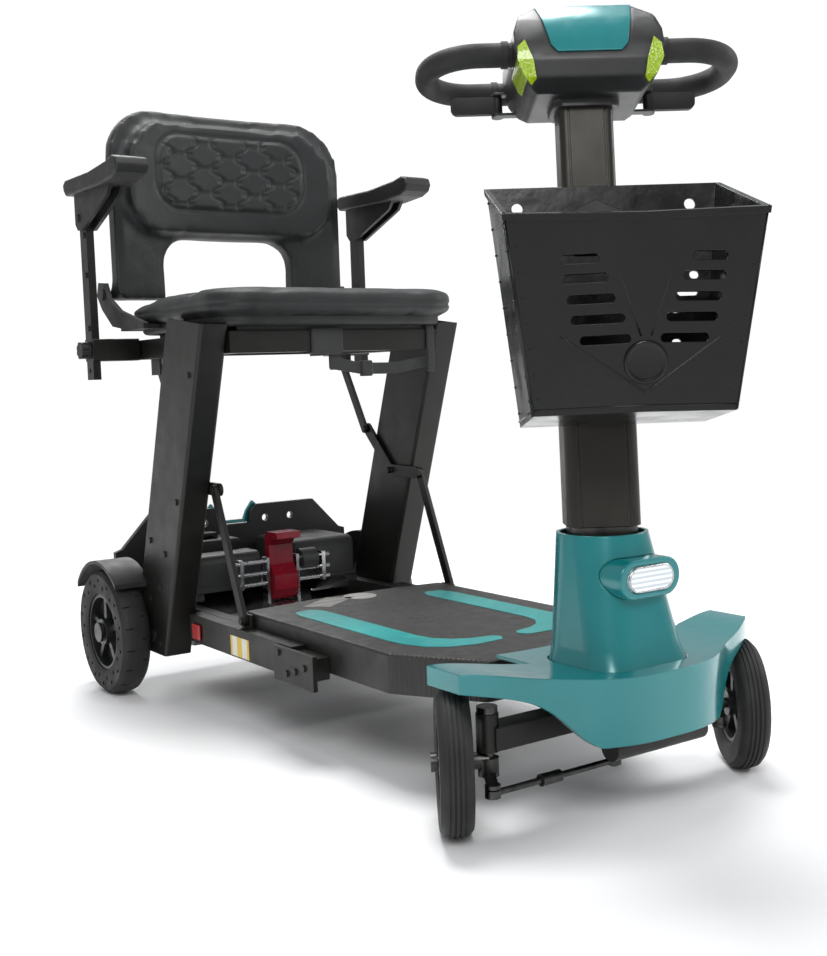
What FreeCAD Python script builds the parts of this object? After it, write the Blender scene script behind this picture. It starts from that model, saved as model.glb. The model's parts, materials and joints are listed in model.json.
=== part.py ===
"""Folding travel mobility scooter, one STEP file per physical piece.

Lengths are millimetres and Z is up. The scooter drives towards -Y, so every
helper takes a forward distance, measured from the rear axle, and the whole
scooter is centred over the origin when the pieces are written. The rider's
left is +X. The front wheels and the tiller stand turned to the rider's right.
"""
import FreeCAD, Part
import math
import os

from FreeCAD import Vector

# Driving dimensions
WHEELBASE = 838.0
REAR_RADIUS = 96.0
REAR_WIDTH = 44.0
REAR_TRACK = 480.0
FRONT_RADIUS = 76.0
FRONT_WIDTH = 34.0
KINGPIN_X = 165.0
SCRUB = 36.0
STEER = 33.0
LEAN = 7.5

DECK_TOP = 157.0
DECK_BOTTOM = 110.0
DECK_HALF = 165.0
DECK_REAR = 300.0
DECK_CORNER = 655.0
DECK_FRONT = 762.0
DECK_NOSE_HALF = 111.0

LEG_IN = 172.0
LEG_OUT = 214.0
LEG_FOOT = 106.0
LEG_RAKE = 0.361
LEG_DEPTH = 117.0
LEG_TOP = 550.0
LEG_BOTTOM = 72.0
LEG_WALL = 3.5

SEAT_TUBE_TOP = 541.0
SEAT_TUBE_DROP = 30.0
SEAT_TUBE_FRONT = 304.0
SEAT_HALF = 208.0
SEAT_FRONT = 348.0
SEAT_REAR = -14.0
CUSHION_BOTTOM = 561.0
CUSHION_TOP = 597.0

BACK_HINGE = (-34.0, 612.0)
BACK_HALF = 205.0
BACK_TOP = 904.0
BACK_FACE = -35.0
BACK_THICK = 30.0
BACK_BOW = 29.0

ARM_X = 242.0
ARM_F = -20.0
ARM_TUBE_Z = 527.0

HINGE_Z = 303.0
HINGE_BACK = 36.0
HINGE_UP = 8.0
HINGE_RADIUS = 5.0
NECK_TOP = 304.5
TUBE_FOOT = 305.5
TUBE_WIDE = 80.0
TUBE_DEEP = 62.0
TUBE_ROUND = 16.0
MAST_WIDE = 60.0
MAST_DEEP = 44.0
MAST_ROUND = 8.0
TUBE_LENGTH = 330.0
MAST_TOP = 472.0
RING_T = 516.0
RING_HALF = 170.0
RING_RADIUS = 13.0
FIT = 0.5
PIN_FIT = 0.05

PARTS = {}


# Plain solids, placed by forward distance
def point(x, forward, z):
    return Vector(x, -forward, z)


def box(x0, x1, f0, f1, z0, z1):
    return Part.makeBox(x1 - x0, f1 - f0, z1 - z0, Vector(x0, -f1, z0))


def rod(radius, start, end):
    """A round bar between two (x, forward, z) points."""
    a = point(*start)
    b = point(*end)
    return Part.makeCylinder(radius, (b - a).Length, a, b - a)


def pipe(radius, bore, start, end):
    return rod(radius, start, end).cut(rod(bore, start, end))


def face_of(points):
    return Part.Face(Part.makePolygon(points + [points[0]]))


def side_prism(outline, x0, x1):
    """Extrude a (forward, z) outline across the width."""
    face = face_of([point(x0, f, z) for f, z in outline])
    return face.extrude(Vector(x1 - x0, 0, 0))


def front_prism(outline, f0, f1):
    """Extrude an (x, z) outline forward."""
    face = face_of([point(x, f0, z) for x, z in outline])
    return face.extrude(point(0, f1 - f0, 0))


def plan_prism(outline, z0, z1):
    """Extrude an (x, forward) outline upward."""
    face = face_of([point(x, f, z0) for x, f in outline])
    return face.extrude(Vector(0, 0, z1 - z0))


def outward(solid):
    """Make a solid's faces look outward, whichever way its outline was drawn."""
    if solid.Volume < 0:
        solid.reverse()
    return solid


def rounded(shape, radius, keep=lambda edge: True):
    edges = [edge for edge in shape.Edges if keep(edge)]
    return shape.makeFillet(radius, edges)


def upright(edge):
    a, b = edge.Vertexes[0].Point, edge.Vertexes[-1].Point
    return abs(a.x - b.x) < 0.01 and abs(a.y - b.y) < 0.01 and abs(a.z - b.z) > 1


def along_x(edge):
    a, b = edge.Vertexes[0].Point, edge.Vertexes[-1].Point
    return abs(a.y - b.y) < 0.01 and abs(a.z - b.z) < 0.01 and abs(a.x - b.x) > 1


def along_y(edge):
    a, b = edge.Vertexes[0].Point, edge.Vertexes[-1].Point
    return abs(a.x - b.x) < 0.01 and abs(a.z - b.z) < 0.01 and abs(a.y - b.y) > 1


def fused(shapes):
    body = shapes[0]
    if len(shapes) > 1:
        body = body.multiFuse(shapes[1:])
    return body.removeSplitter()


def mirrored(shape):
    return shape.mirror(Vector(0, 0, 0), Vector(1, 0, 0))


def both(shape):
    return Part.makeCompound([shape, mirrored(shape)])


def section_bar(wide, deep, radius, t0, t1):
    """An upright bar with a rounded rectangular section, centred on the Z axis."""
    bar = Part.makeBox(wide, deep, t1 - t0, Vector(-wide / 2, -deep / 2, t0))
    return rounded(bar, radius, upright)


def bolt_head(x, f, z, side):
    """A domed screw head lying on a face that looks along X."""
    return rod(4.5, (x, f, z), (x + 2.5 * side, f, z))


def add(name, shape):
    PARTS[name] = shape


# Steered and leaning frames
def steered(shape, x=0.0):
    """Turn a piece that was made straight ahead about an upright axis at x."""
    turned = shape.copy()
    turned.rotate(point(x, WHEELBASE, 0), Vector(0, 0, 1), -STEER)
    return turned


def on_tiller(shape):
    """Carry a piece from the tiller's own frame, upright at its hinge, to its place."""
    placed = shape.copy()
    placed.rotate(Vector(0, 0, 0), Vector(1, 0, 0), -LEAN)
    placed.translate(point(0, WHEELBASE, HINGE_Z))
    return steered(placed)


# Wheels
def revolve_tyre(radius, bore, width, crown):
    """A tyre round the X axis with a crowned tread and rounded shoulders."""
    half = width / 2
    shoulder = radius - crown
    profile = [
        Vector(-half + 2, 0, bore), Vector(-half, 0, bore + 6), Vector(-half, 0, shoulder),
        Vector(-half + crown * 0.7, 0, radius - crown * 0.25), Vector(-half + crown * 1.6, 0, radius),
    ]
    profile += [Vector(-p.x, 0, p.z) for p in reversed(profile)]
    return face_of(profile).revolve(Vector(0, 0, 0), Vector(1, 0, 0), 360)


def sipe_ring(tyre, radius, width, count, depth):
    """Cut cross grooves round the tread."""
    groove = Part.makeBox(width * 0.32, 2.2, depth + 2, Vector(width * 0.16, -1.1, radius - depth))
    cuts = []
    for index in range(count):
        cut = groove.copy() if index % 2 else mirrored(groove)
        cut.rotate(Vector(0, 0, 0), Vector(1, 0, 0), 360.0 * index / count)
        cuts.append(cut)
    return tyre.cut(Part.makeCompound(cuts))


def ribbed(tyre, radius, places, depth):
    """Cut grooves that run round the tread."""
    for x in places:
        ring = Part.makeCylinder(radius + 2, 1.8, Vector(x - 0.9, 0, 0), Vector(1, 0, 0))
        inner = Part.makeCylinder(radius - depth, 1.8, Vector(x - 0.9, 0, 0), Vector(1, 0, 0))
        tyre = tyre.cut(ring.cut(inner))
    return tyre


def honeycomb(tyre, radius, width, count):
    """Cut the ring of blind holes that softens a solid tyre."""
    cuts = []
    for side in (-1, 1):
        for index in range(count):
            angle = 2 * math.pi * index / count
            ring = radius if index % 2 else radius - 9
            start = Vector(side * (width / 2 + 1), ring * math.cos(angle), ring * math.sin(angle))
            cuts.append(Part.makeCylinder(3.0, 11, start, Vector(-side, 0, 0)))
    return tyre.cut(Part.makeCompound(cuts))


def rim(outer, width, hub, bore, spokes):
    """A moulded rim: a barrel, a hub, spokes between them and a cap on both faces."""
    half = width / 2
    barrel = Part.makeCylinder(outer, width - 8, Vector(-half + 4, 0, 0), Vector(1, 0, 0))
    barrel = barrel.cut(Part.makeCylinder(outer - 5, width, Vector(-half, 0, 0), Vector(1, 0, 0)))
    pieces = [barrel, Part.makeCylinder(hub, width - 4, Vector(-half + 2, 0, 0), Vector(1, 0, 0))]
    for index in range(spokes):
        spoke = Part.makeBox(width - 18, 9, outer - 8, Vector(-half + 9, -4.5, 4))
        spoke.rotate(Vector(0, 0, 0), Vector(1, 0, 0), 360.0 * index / spokes)
        pieces.append(spoke)
    wheel = fused(pieces)
    return wheel.cut(Part.makeCylinder(bore, width + 4, Vector(-half - 2, 0, 0), Vector(1, 0, 0)))


def place_wheel(shape, x, forward, radius):
    placed = shape.copy()
    placed.translate(point(x, forward, radius))
    return placed


def make_wheels():
    rear_tyre = revolve_tyre(REAR_RADIUS, 58, REAR_WIDTH, 8)
    rear_tyre = sipe_ring(rear_tyre, REAR_RADIUS, REAR_WIDTH, 36, 3)
    rear_tyre = honeycomb(rear_tyre, 80, REAR_WIDTH, 28)
    rear_rim = rim(58, REAR_WIDTH, 20, 8 + PIN_FIT, 5)
    web = pipe(54, 19, (-4, 0, 0), (4, 0, 0))
    rear_rim = fused([rear_rim, web]).removeSplitter()
    front_tyre = revolve_tyre(FRONT_RADIUS, 46, FRONT_WIDTH, 7)
    front_tyre = ribbed(front_tyre, FRONT_RADIUS, (-7.5, -2.5, 2.5, 7.5), 1.6)
    front_rim = rim(46, FRONT_WIDTH, 15, 6 + PIN_FIT, 5)
    for name, side in (("left", 1), ("right", -1)):
        x = side * REAR_TRACK / 2
        add(f"rear_tyre_{name}", place_wheel(rear_tyre, x, 0, REAR_RADIUS))
        add(f"rear_rim_{name}", place_wheel(rear_rim, x, 0, REAR_RADIUS))
        pin = side * KINGPIN_X
        x = pin + side * SCRUB
        add(f"front_tyre_{name}", steered(place_wheel(front_tyre, x, WHEELBASE, FRONT_RADIUS), pin))
        add(f"front_rim_{name}", steered(place_wheel(front_rim, x, WHEELBASE, FRONT_RADIUS), pin))


# Rear chassis
RAIL_LOW = 98.0
RAIL_HIGH = 138.0


def make_rear_frame():
    half = [
        box(148, 167, -62, 282, RAIL_LOW, RAIL_HIGH),
        box(168, 188, 166, 470, RAIL_LOW, RAIL_HIGH),
        box(167, 168, 180, 282, RAIL_LOW + 4, RAIL_HIGH - 4),
        rod(7, (140, 95, 100), (216, 95, 100)),
        box(150, 166, -30, 30, 74, 98),
        box(188, 194, 432, 532, 92, 136),
        box(168, 188, 470, 528, 104, 132),
    ]
    for f, z in ((445, 128), (466, 104), (488, 110), (510, 118)):
        half.append(bolt_head(194, f, z, 1))
    side = fused(half)
    cross = [
        box(-148, 148, 186, 214, 106, 132),
        box(-148, 148, -62, -50, 106, 132),
        rod(13, (-148, 246, 118), (148, 246, 118)),
    ]
    add("rear_frame", fused([side, mirrored(side)] + cross))


def make_drive_unit():
    motor = rounded(rod(44, (-116, 0, 96), (34, 0, 96)), 6)
    gearbox = rounded(rod(48, (36, 0, 98), (92, 0, 98)), 8)
    brake = rod(30, (-136, 0, 96), (-116, 0, 96))
    shaft = rod(8, (-263, 0, 96), (263, 0, 96))
    bearings = [box(s - 8, s + 8, -26, 26, 74, 98) for s in (-142, 142)]
    body = fused([motor, gearbox, brake, shaft, rod(16, (92, 0, 96), (150, 0, 96)),
                  rod(16, (-150, 0, 96), (-136, 0, 96))] + bearings)
    caps = [rod(15, (side * 262.5, 0, 96), (side * 266.5, 0, 96)) for side in (-1, 1)]
    add("drive_unit", fused([body] + caps))


COVER_TOP = 214.0


def make_covers():
    left = box(30, 144, -44, 92, 156, COVER_TOP)
    left = rounded(left, 16, lambda e: along_x(e) and e.BoundBox.ZMax > COVER_TOP - 1)
    left = rounded(left, 5, lambda e: e.BoundBox.YMin > -93 and e.BoundBox.ZMax > 200 and
                   abs(e.BoundBox.XLength) < 0.1)
    tray = box(-144, 144, -44, 94, 150, 156)
    right = box(-144, -30, 34, 92, 156, COVER_TOP - 8)
    right = rounded(right, 14, lambda e: along_x(e) and e.BoundBox.ZMax > COVER_TOP - 9)
    risers = [box(s - 10, s + 10, -40, 90, 138, 150) for s in (-138, 138)]
    roll = rod(17, (34, 100, 186), (62, 100, 186))
    add("drive_covers", fused([left, tray, right, roll] + risers))


def make_battery():
    case = rounded(box(-142, -32, -42, 32, 157, 222), 6)
    grip = box(-112, -62, -20, 8, 222, 231).cut(box(-104, -70, -30, 20, 218, 226))
    add("battery_pack", fused([case, grip]))


def make_housing():
    """The back plate: two raised blocks with a notch between them."""
    outline = [
        (-212, 150), (-212, 208), (-200, 212), (-150, 264), (-40, 264), (-30, 254), (-26, 234),
        (26, 234), (30, 254), (40, 264), (150, 264), (200, 212), (212, 208), (212, 150),
    ]
    plate = front_prism(outline, -60, -50)
    shelf = box(-210, 210, -62, -46, 138, 152)
    holes = [rod(6, (x, -70, 240), (x, -40, 240)) for x in (-104, -56, 56, 104)]
    add("rear_housing", fused([plate, shelf]).cut(Part.makeCompound(holes)))
    trim = front_prism([(-38, 270), (-26, 254), (-20, 240), (20, 240), (26, 254), (38, 270),
                        (44, 264.5), (33, 250), (26, 234.5), (-26, 234.5), (-33, 250), (-44, 264.5)],
                       -66, -60)
    add("rear_trim", trim)


def make_fender(side):
    center = REAR_TRACK / 2
    ring = pipe(REAR_RADIUS + 14, REAR_RADIUS + 9, (center - 30, 0, 96), (center + 24, 0, 96))
    keep = box(center - 40, center + 40, -86, 74, 150, 220)
    arch = ring.common(keep)
    inner = rod(REAR_RADIUS + 14, (center - 30, 0, 96), (center - 27, 0, 96)).common(keep)
    tab = box(150, 213, -48, -20, 138, 150)
    post = box(210, 213, -48, -20, 138, 175)
    shape = fused([arch, inner, tab, post])
    return shape if side > 0 else mirrored(shape)


def make_lever():
    outline = [
        (92, 132), (112, 132), (122, 146), (120, 168), (106, 184), (104, 214), (112, 222), (132, 226),
        (132, 236), (100, 236), (91, 228), (91, 182), (104, 166), (106, 150), (100, 142), (92, 142),
    ]
    blade = side_prism(outline, -21, 21)
    barrel = rod(9, (-21, 100, 136), (21, 100, 136))
    lever = fused([blade, barrel])
    return lever.cut(rod(4 + PIN_FIT, (-30, 100, 136), (30, 100, 136)))


def make_lock():
    pieces = []
    for z in (190, 172, 156):
        pieces.append(rod(3, (24, 106, z), (86, 106, z)))
    pieces.append(box(70, 76, 92, 112, 150, 196))
    side = fused(pieces)
    lug = box(24, 29, 94, 110, 128, 196)
    side = fused([side, lug])
    pin = rod(4, (-24, 100, 136), (24, 100, 136))
    base = box(-29, 29, 94, 186, 118, 124)
    ears = [box(s * 26.5 - 2.5, s * 26.5 + 2.5, 94, 110, 122, 130) for s in (-1, 1)]
    add("lock_rods", fused([side, mirrored(side), pin, base] + ears))


def make_rear():
    make_rear_frame()
    make_drive_unit()
    make_covers()
    make_battery()
    make_housing()
    add("fender_left", make_fender(1))
    add("fender_right", make_fender(-1))
    add("fold_lever", make_lever())
    make_lock()
    add("reflectors", both(rounded(box(189, 192, 180, 204, 104, 126), 1)))


# Deck and front chassis
def deck_outline(inset=0.0):
    side = DECK_HALF - inset
    nose = DECK_NOSE_HALF - inset
    rear = DECK_REAR + inset
    front = DECK_FRONT - inset
    right = [(side, rear), (side, DECK_CORNER), (nose, DECK_FRONT - 12), (nose - 8, front)]
    left = [(-x, f) for x, f in reversed(right)]
    return right + left + [(-60, rear - 12), (60, rear - 12)]


def stripe_outline():
    """A hockey-stick band that runs along the deck's side and turns in at the front."""
    outer = [(128, 386), (122, 362), (96, 358), (85, 380), (85, 600)]
    bend = [(80, 626), (66, 645), (46, 657), (20, 662), (12, 672), (20, 686)]
    back = [(60, 688), (92, 678), (114, 658), (125, 628), (128, 600)]
    return outer + bend + back


def make_deck():
    board = plan_prism(deck_outline(), DECK_BOTTOM, DECK_TOP)
    board = rounded(board, 9, upright)
    board = rounded(board, 4, lambda e: e.BoundBox.ZMin > DECK_TOP - 0.1)
    band = plan_prism(stripe_outline(), DECK_TOP - 2, DECK_TOP + 0.6)
    band = rounded(band, 6, upright)
    stripes = both(band)
    hollow = plan_prism(deck_outline(8), DECK_BOTTOM - 1, DECK_TOP - 12)
    notch = box(-46.3, 46.3, 740, 770, 109, 140.3)
    add("deck_board", board.cut(stripes).cut(hollow).cut(notch))
    add("deck_stripes", stripes)


BEAM_LOW = 88.0
BEAM_HIGH = 112.0


def make_front_chassis():
    pieces = [
        box(-46, 46, 700, 862, 112, 140),
        box(-KINGPIN_X, KINGPIN_X, WHEELBASE - 15, WHEELBASE + 15, BEAM_LOW, BEAM_HIGH),
        rod(24, (0, WHEELBASE, 92), (0, WHEELBASE, 152)),
        box(-128, -100, 480, 690, 112, 140),
        box(100, 128, 480, 690, 112, 140),
        box(-128, 128, 660, 700, 112, 140),
        rod(13, (-66, 914, 85), (66, 914, 85)),
        box(-12, 12, 862, 914, 112, 124),
        box(-12, 12, 902, 914, 96, 124),
    ]
    for side in (-1, 1):
        pieces.append(rod(12, (side * KINGPIN_X, WHEELBASE, 86), (side * KINGPIN_X, WHEELBASE, 126)))
    body = fused(pieces)
    body = body.cut(rod(14 + PIN_FIT, (0, WHEELBASE, 70), (0, WHEELBASE, 160)))
    for side in (-1, 1):
        x = side * KINGPIN_X
        body = body.cut(rod(6 + PIN_FIT, (x, WHEELBASE, 70), (x, WHEELBASE, 135)))
    add("front_chassis", body)


BUMPER_SKIN = 4.0
BUMPER_HOLE = ((150, 70.6, 60.6, 34, 860), (190, 62.5, 52.5, 33, 854.5))


def bumper_plan(inset=0.0):
    """The bumper seen from above: a bow at the front, two wings and a hollow back."""
    right = [(52, 938), (90, 923), (124, 903), (158, 888), (188, 872), (212, 855)]
    return [(x - inset, f - inset) for x, f in right]


def bumper_solid(inset, top, low):
    right = bumper_plan(inset)
    mid = (0, 942 - inset)
    tip = 212 - inset
    rear = [(tip, 800), (150, 806), (96, 826), (96, 768), (-96, 768), (-96, 826), (-150, 806), (-tip, 800)]
    left = [(-x, f) for x, f in right]
    face = Part.BSplineCurve()
    face.interpolate([point(x, f, low) for x, f in left[::-1] + [mid] + right])
    back = [right[-1]] + rear + [left[-1]]
    border = Part.makePolygon([point(x, f, low) for x, f in back])
    wire = Part.Wire([face.toShape()] + border.Edges)
    return outward(Part.Face(wire).extrude(Vector(0, 0, top - low)))


def bumper_front(inset=0.0, drop=0.0):
    """The bumper seen from the front: a low middle that sweeps up into the wings."""
    low = [(86, 92), (100, 101), (118, 120), (140, 138), (170, 149), (214, 156)]
    edge = [(x, z - drop) for x, z in low]
    top = [(214, 176 - inset), (190, 175 - inset), (150, 169 - inset), (100, 164 - inset), (0, 162 - inset)]
    curve = Part.BSplineCurve()
    curve.interpolate([point(x, 700, z) for x, z in edge])
    crown = Part.BSplineCurve()
    left_top = [(-x, z) for x, z in reversed(top[:-1])]
    crown.interpolate([point(x, 700, z) for x, z in top + left_top])
    lower = curve.toShape()
    other = mirrored(lower)
    floor = Part.makeLine(point(-edge[0][0], 700, edge[0][1]), point(edge[0][0], 700, edge[0][1]))
    ends = [Part.makeLine(point(s * 214, 700, edge[-1][1]), point(s * 214, 700, top[0][1])) for s in (1, -1)]
    edges = Part.sortEdges([lower, other, floor, crown.toShape()] + ends)[0]
    return outward(Part.Face(Part.Wire(edges)).extrude(point(0, 260, 0)))


SHROUD_RINGS = ((158, 68, 58, 34, 859), (178, 63, 53, 33, 856), (298, 48.5, 48.5, 45, 838.5))
SHROUD_WALL = 4.0


def round_wire(z, half_wide, half_deep, radius, middle_f):
    """A closed rectangle with round corners at one height."""
    spots = [(half_wide, half_deep), (-half_wide, half_deep), (-half_wide, -half_deep), (half_wide, -half_deep)]
    edges = []
    for index, (x, f) in enumerate(spots):
        before, after = spots[index - 1], spots[(index + 1) % 4]
        corner = point(x, middle_f + f, z)
        back = (point(before[0], middle_f + before[1], z) - corner).normalize()
        onward = (point(after[0], middle_f + after[1], z) - corner).normalize()
        start, stop = corner + back * radius, corner + onward * radius
        middle = corner + (back + onward) * (radius * (1 - math.sqrt(0.5)))
        edges.append(Part.Arc(start, middle, stop).toShape())
        next_corner = point(after[0], middle_f + after[1], z)
        edges.append(Part.makeLine(stop, next_corner - onward * radius))
    return Part.Wire(edges)


def cowl(inset):
    wires = [round_wire(z, wide - inset, deep - inset, radius - inset, f) for z, wide, deep, radius, f in SHROUD_RINGS]
    spans = [outward(Part.makeLoft(list(pair), True, True)) for pair in zip(wires, wires[1:])]
    return spans[0].fuse(spans[1:])


def make_fairing():
    outer = bumper_solid(0, 200, 60).common(bumper_front())
    inner = bumper_solid(BUMPER_SKIN, 200, 60).common(bumper_front(BUMPER_SKIN, 20))
    hole = outward(Part.makeLoft([round_wire(*ring) for ring in BUMPER_HOLE], True, True))
    add("bumper", outer.cut(inner).cut(hole))
    shroud = cowl(0).cut(cowl(SHROUD_WALL))
    well = headlight_form(44, 870, 920, 21)
    add("shroud", shroud.cut(well))
    lens = headlight_form(32, 890, 913, 13)
    bezel = headlight_form(43.6, 878, 911, 20.6).cut(headlight_form(32.4, 885, 930, 13.4))
    add("headlight_housing", rounded(bezel, 2, lambda e: e.BoundBox.YMax < -910.9))
    add("headlight_lens", rounded(lens, 3, lambda e: e.BoundBox.YMax < -912.9))


def headlight_form(half_wide, f0, f1, radius, z=254.0):
    """A stadium block that looks forward."""
    flat = half_wide - radius
    ends = [rod(radius, (side * flat, f0, z), (side * flat, f1, z)) for side in (-1, 1)]
    return fused(ends + [box(-flat, flat, f0, f1, z - radius, z + radius)])


# Steering
STEM_RADIUS = 14.0
ARM_REACH = 45.0
RIGHT_ROD_Z = 56.0
LEFT_ROD_Z = 70.0
EYE_RADIUS = 8.0


def make_steering():
    neck = section_bar(TUBE_WIDE - 6, TUBE_DEEP - 6, TUBE_ROUND, 274, NECK_TOP)
    neck.translate(point(0, WHEELBASE, 0))
    lean = math.radians(LEAN)
    hinge_f = WHEELBASE - HINGE_BACK * math.cos(lean) - HINGE_UP * math.sin(lean)
    hinge_z = HINGE_Z - HINGE_BACK * math.sin(lean) + HINGE_UP * math.cos(lean)
    plate_low = box(-9, 9, WHEELBASE, WHEELBASE + ARM_REACH, 61.5, 65.5)
    barrel = rod(HINGE_RADIUS, (-14, hinge_f, hinge_z), (14, hinge_f, hinge_z))
    lug = box(-12, 12, WHEELBASE - 38, WHEELBASE - 28, hinge_z - 22, NECK_TOP)
    pieces = [
        neck, lug, rod(STEM_RADIUS, (0, WHEELBASE, 60), (0, WHEELBASE, 276)),
        rod(20, (0, WHEELBASE, 154), (0, WHEELBASE, 177)), plate_low,
        rod(9, (0, WHEELBASE + ARM_REACH, 61.5), (0, WHEELBASE + ARM_REACH, 65.5)),
        rod(4, (0, WHEELBASE + ARM_REACH, 50), (0, WHEELBASE + ARM_REACH, 77)), barrel,
    ]
    bore = rod(2.5 + PIN_FIT, (-31, hinge_f, hinge_z), (31, hinge_f, hinge_z))
    add("steering_stem", steered(fused(pieces).cut(bore)))


def make_knuckle(side):
    x = side * KINGPIN_X
    low = RIGHT_ROD_Z if side < 0 else LEFT_ROD_Z
    wheel = x + side * SCRUB
    arm = box(x - 6, x + 6, WHEELBASE, WHEELBASE + ARM_REACH, 61.5, 65.5)
    stub = rod(6, (x, WHEELBASE, FRONT_RADIUS), (wheel + side * (FRONT_WIDTH / 2 + 4), WHEELBASE, FRONT_RADIUS))
    block = rod(11, (x, WHEELBASE, 60), (x, WHEELBASE, 79.5))
    collar = rod(9, (x, WHEELBASE, FRONT_RADIUS), (x + side * 17, WHEELBASE, FRONT_RADIUS))
    cap = rod(11, (x, WHEELBASE, 126.5), (x, WHEELBASE, 133))
    end = rod(8, (x, WHEELBASE + ARM_REACH, 61.5), (x, WHEELBASE + ARM_REACH, 65.5))
    z0, z1 = (61.5, 74.5) if low > 63 else (51.5, 65.5)
    ball = rod(4, (x, WHEELBASE + ARM_REACH, z0), (x, WHEELBASE + ARM_REACH, z1))
    nut_x = wheel + side * (FRONT_WIDTH / 2 + 0.5)
    nut = rod(10, (nut_x, WHEELBASE, FRONT_RADIUS), (nut_x + side * 6, WHEELBASE, FRONT_RADIUS))
    pin = rod(6, (x, WHEELBASE, 70), (x, WHEELBASE, 130))
    return steered(fused([arm, stub, block, collar, cap, end, ball, pin, nut]), x)


def steer_shift():
    """How far the ends of the steering arms lie from their straight-ahead place."""
    turn = math.radians(STEER)
    return -ARM_REACH * math.sin(turn), ARM_REACH * math.cos(turn)


def make_tie_rod(side):
    dx, df = steer_shift()
    z = RIGHT_ROD_Z if side < 0 else LEFT_ROD_Z
    f = WHEELBASE + df
    outer, inner = side * KINGPIN_X + dx, dx
    bar = rod(3.5, (outer, f, z), (inner, f, z))
    sleeve = rod(6.5, (outer - side * 62, f, z), (outer - side * 88, f, z))
    eyes = [rod(EYE_RADIUS, (x, f, z - 4), (x, f, z + 4)) for x in (outer, inner)]
    bores = [rod(4 + PIN_FIT, (outer, f, z - 6), (outer, f, z + 6)),
             rod(5.0, (inner, f, z - 6), (inner, f, z + 6))]
    body = fused([bar, sleeve] + eyes)
    return body.cut(bores[0]).cut(bores[1])


def make_front():
    make_deck()
    make_front_chassis()
    make_fairing()
    make_steering()
    for name, side in (("left", 1), ("right", -1)):
        add(f"knuckle_{name}", make_knuckle(side))
        add(f"tie_rod_{name}", make_tie_rod(side))


# Seat legs, rockers and struts
def leg_front(z):
    return LEG_FOOT + LEG_RAKE * z


def leg_rear(z):
    return leg_front(z) - LEG_DEPTH


def leg_outline(inset=0.0):
    low, high = LEG_BOTTOM, LEG_TOP
    return [(leg_rear(low) + inset, low), (leg_front(low) - inset, low), (leg_front(high) - inset, high),
            (leg_rear(high + 14) + inset, high + 14)]


def make_leg(side):
    leg = side_prism(leg_outline(), LEG_IN, LEG_OUT)
    slanted = [e for e in leg.Edges if abs(e.BoundBox.XLength) < 0.1 and e.BoundBox.ZLength > 300]
    leg = leg.makeFillet(5, slanted)
    core = side_prism(leg_outline(LEG_WALL), LEG_IN + LEG_WALL, LEG_OUT - LEG_WALL)
    leg = leg.cut(core.translated(Vector(0, 0, 4))).cut(core.translated(Vector(0, 0, -4)))
    spots = [(258, 483), (197, 305), (97, 242), (148, 226), (127, 175), (87, 154), (56, 125), (91, 97), (116, 89)]
    heads = [bolt_head(LEG_OUT, f, z, 1) for f, z in spots]
    pivot = rod(8, (LEG_OUT, 91, 97), (LEG_OUT + 3, 91, 97))
    leg = fused([leg, pivot] + heads)
    return leg if side > 0 else mirrored(leg)


ROCKER_PIVOT = (174.0, 323.0)
ROCKER_FRONT = (243.0, 322.0)
ROCKER_REAR = (108.0, 388.0)
LINK_TOP = (46.0, 496.0)
STRUT_FOOT = (316.0, 147.0)


def flat_link(start, end, half, x0, x1):
    """A flat bar with round ends between two (forward, z) points."""
    run = math.hypot(end[0] - start[0], end[1] - start[1])
    across = ((start[1] - end[1]) / run * half, (end[0] - start[0]) / run * half)
    corners = [(start[0] + across[0], start[1] + across[1]), (end[0] + across[0], end[1] + across[1]),
               (end[0] - across[0], end[1] - across[1]), (start[0] - across[0], start[1] - across[1])]
    ends = [rod(half, (x0, f, z), (x1, f, z)) for f, z in (start, end)]
    return fused([side_prism(corners, x0, x1)] + ends)


def make_rocker(side):
    plate = fused([flat_link(ROCKER_REAR, ROCKER_PIVOT, 9, 166, 171.5),
                   flat_link(ROCKER_PIVOT, ROCKER_FRONT, 9, 166, 171.5)])
    pins = [rod(5, (159, f, z), (172, f, z)) for f, z in (ROCKER_PIVOT, ROCKER_REAR)]
    front_pin = rod(5, (166, *ROCKER_FRONT), (181, *ROCKER_FRONT))
    shape = fused([plate, front_pin] + pins)
    return shape if side > 0 else mirrored(shape)


def make_strut(side):
    bar = flat_link(ROCKER_FRONT, STRUT_FOOT, 7, 172.5, 178.5)
    bore = rod(5, (170, *ROCKER_FRONT), (184, *ROCKER_FRONT))
    foot = rod(5, (168, *STRUT_FOOT), (182, *STRUT_FOOT))
    base = box(168, 172, 302, 330, 138, 156)
    shape = fused([bar.cut(bore), foot, base])
    return shape if side > 0 else mirrored(shape)


def make_link(side):
    bar = flat_link(ROCKER_REAR, LINK_TOP, 7, 160.5, 165.5)
    bar = bar.cut(rod(5, (150, *ROCKER_REAR), (170, *ROCKER_REAR)))
    top = rod(5, (156, *LINK_TOP), (168, *LINK_TOP))
    shape = fused([bar, top])
    return shape if side > 0 else mirrored(shape)


# Seat
def make_seat_frame():
    low = SEAT_TUBE_TOP - SEAT_TUBE_DROP
    side = [
        box(147, LEG_IN - 0.5, -34, SEAT_TUBE_FRONT, low, SEAT_TUBE_TOP),
        box(148, 152, 30, 62, 486, low),
        box(166, 170, 30, 62, 486, low),
        box(LEG_IN - 0.5, LEG_IN, 236, 280, low, SEAT_TUBE_TOP),
    ]
    cross = [
        box(-147, 147, SEAT_TUBE_FRONT - 26, SEAT_TUBE_FRONT, low, SEAT_TUBE_TOP),
        box(-226, 226, ARM_F - 12.5, ARM_F + 12.5, ARM_TUBE_Z - 12.5, ARM_TUBE_Z + 12.5),
    ]
    half = fused(side)
    add("seat_frame", fused([half, mirrored(half)] + cross))


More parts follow.
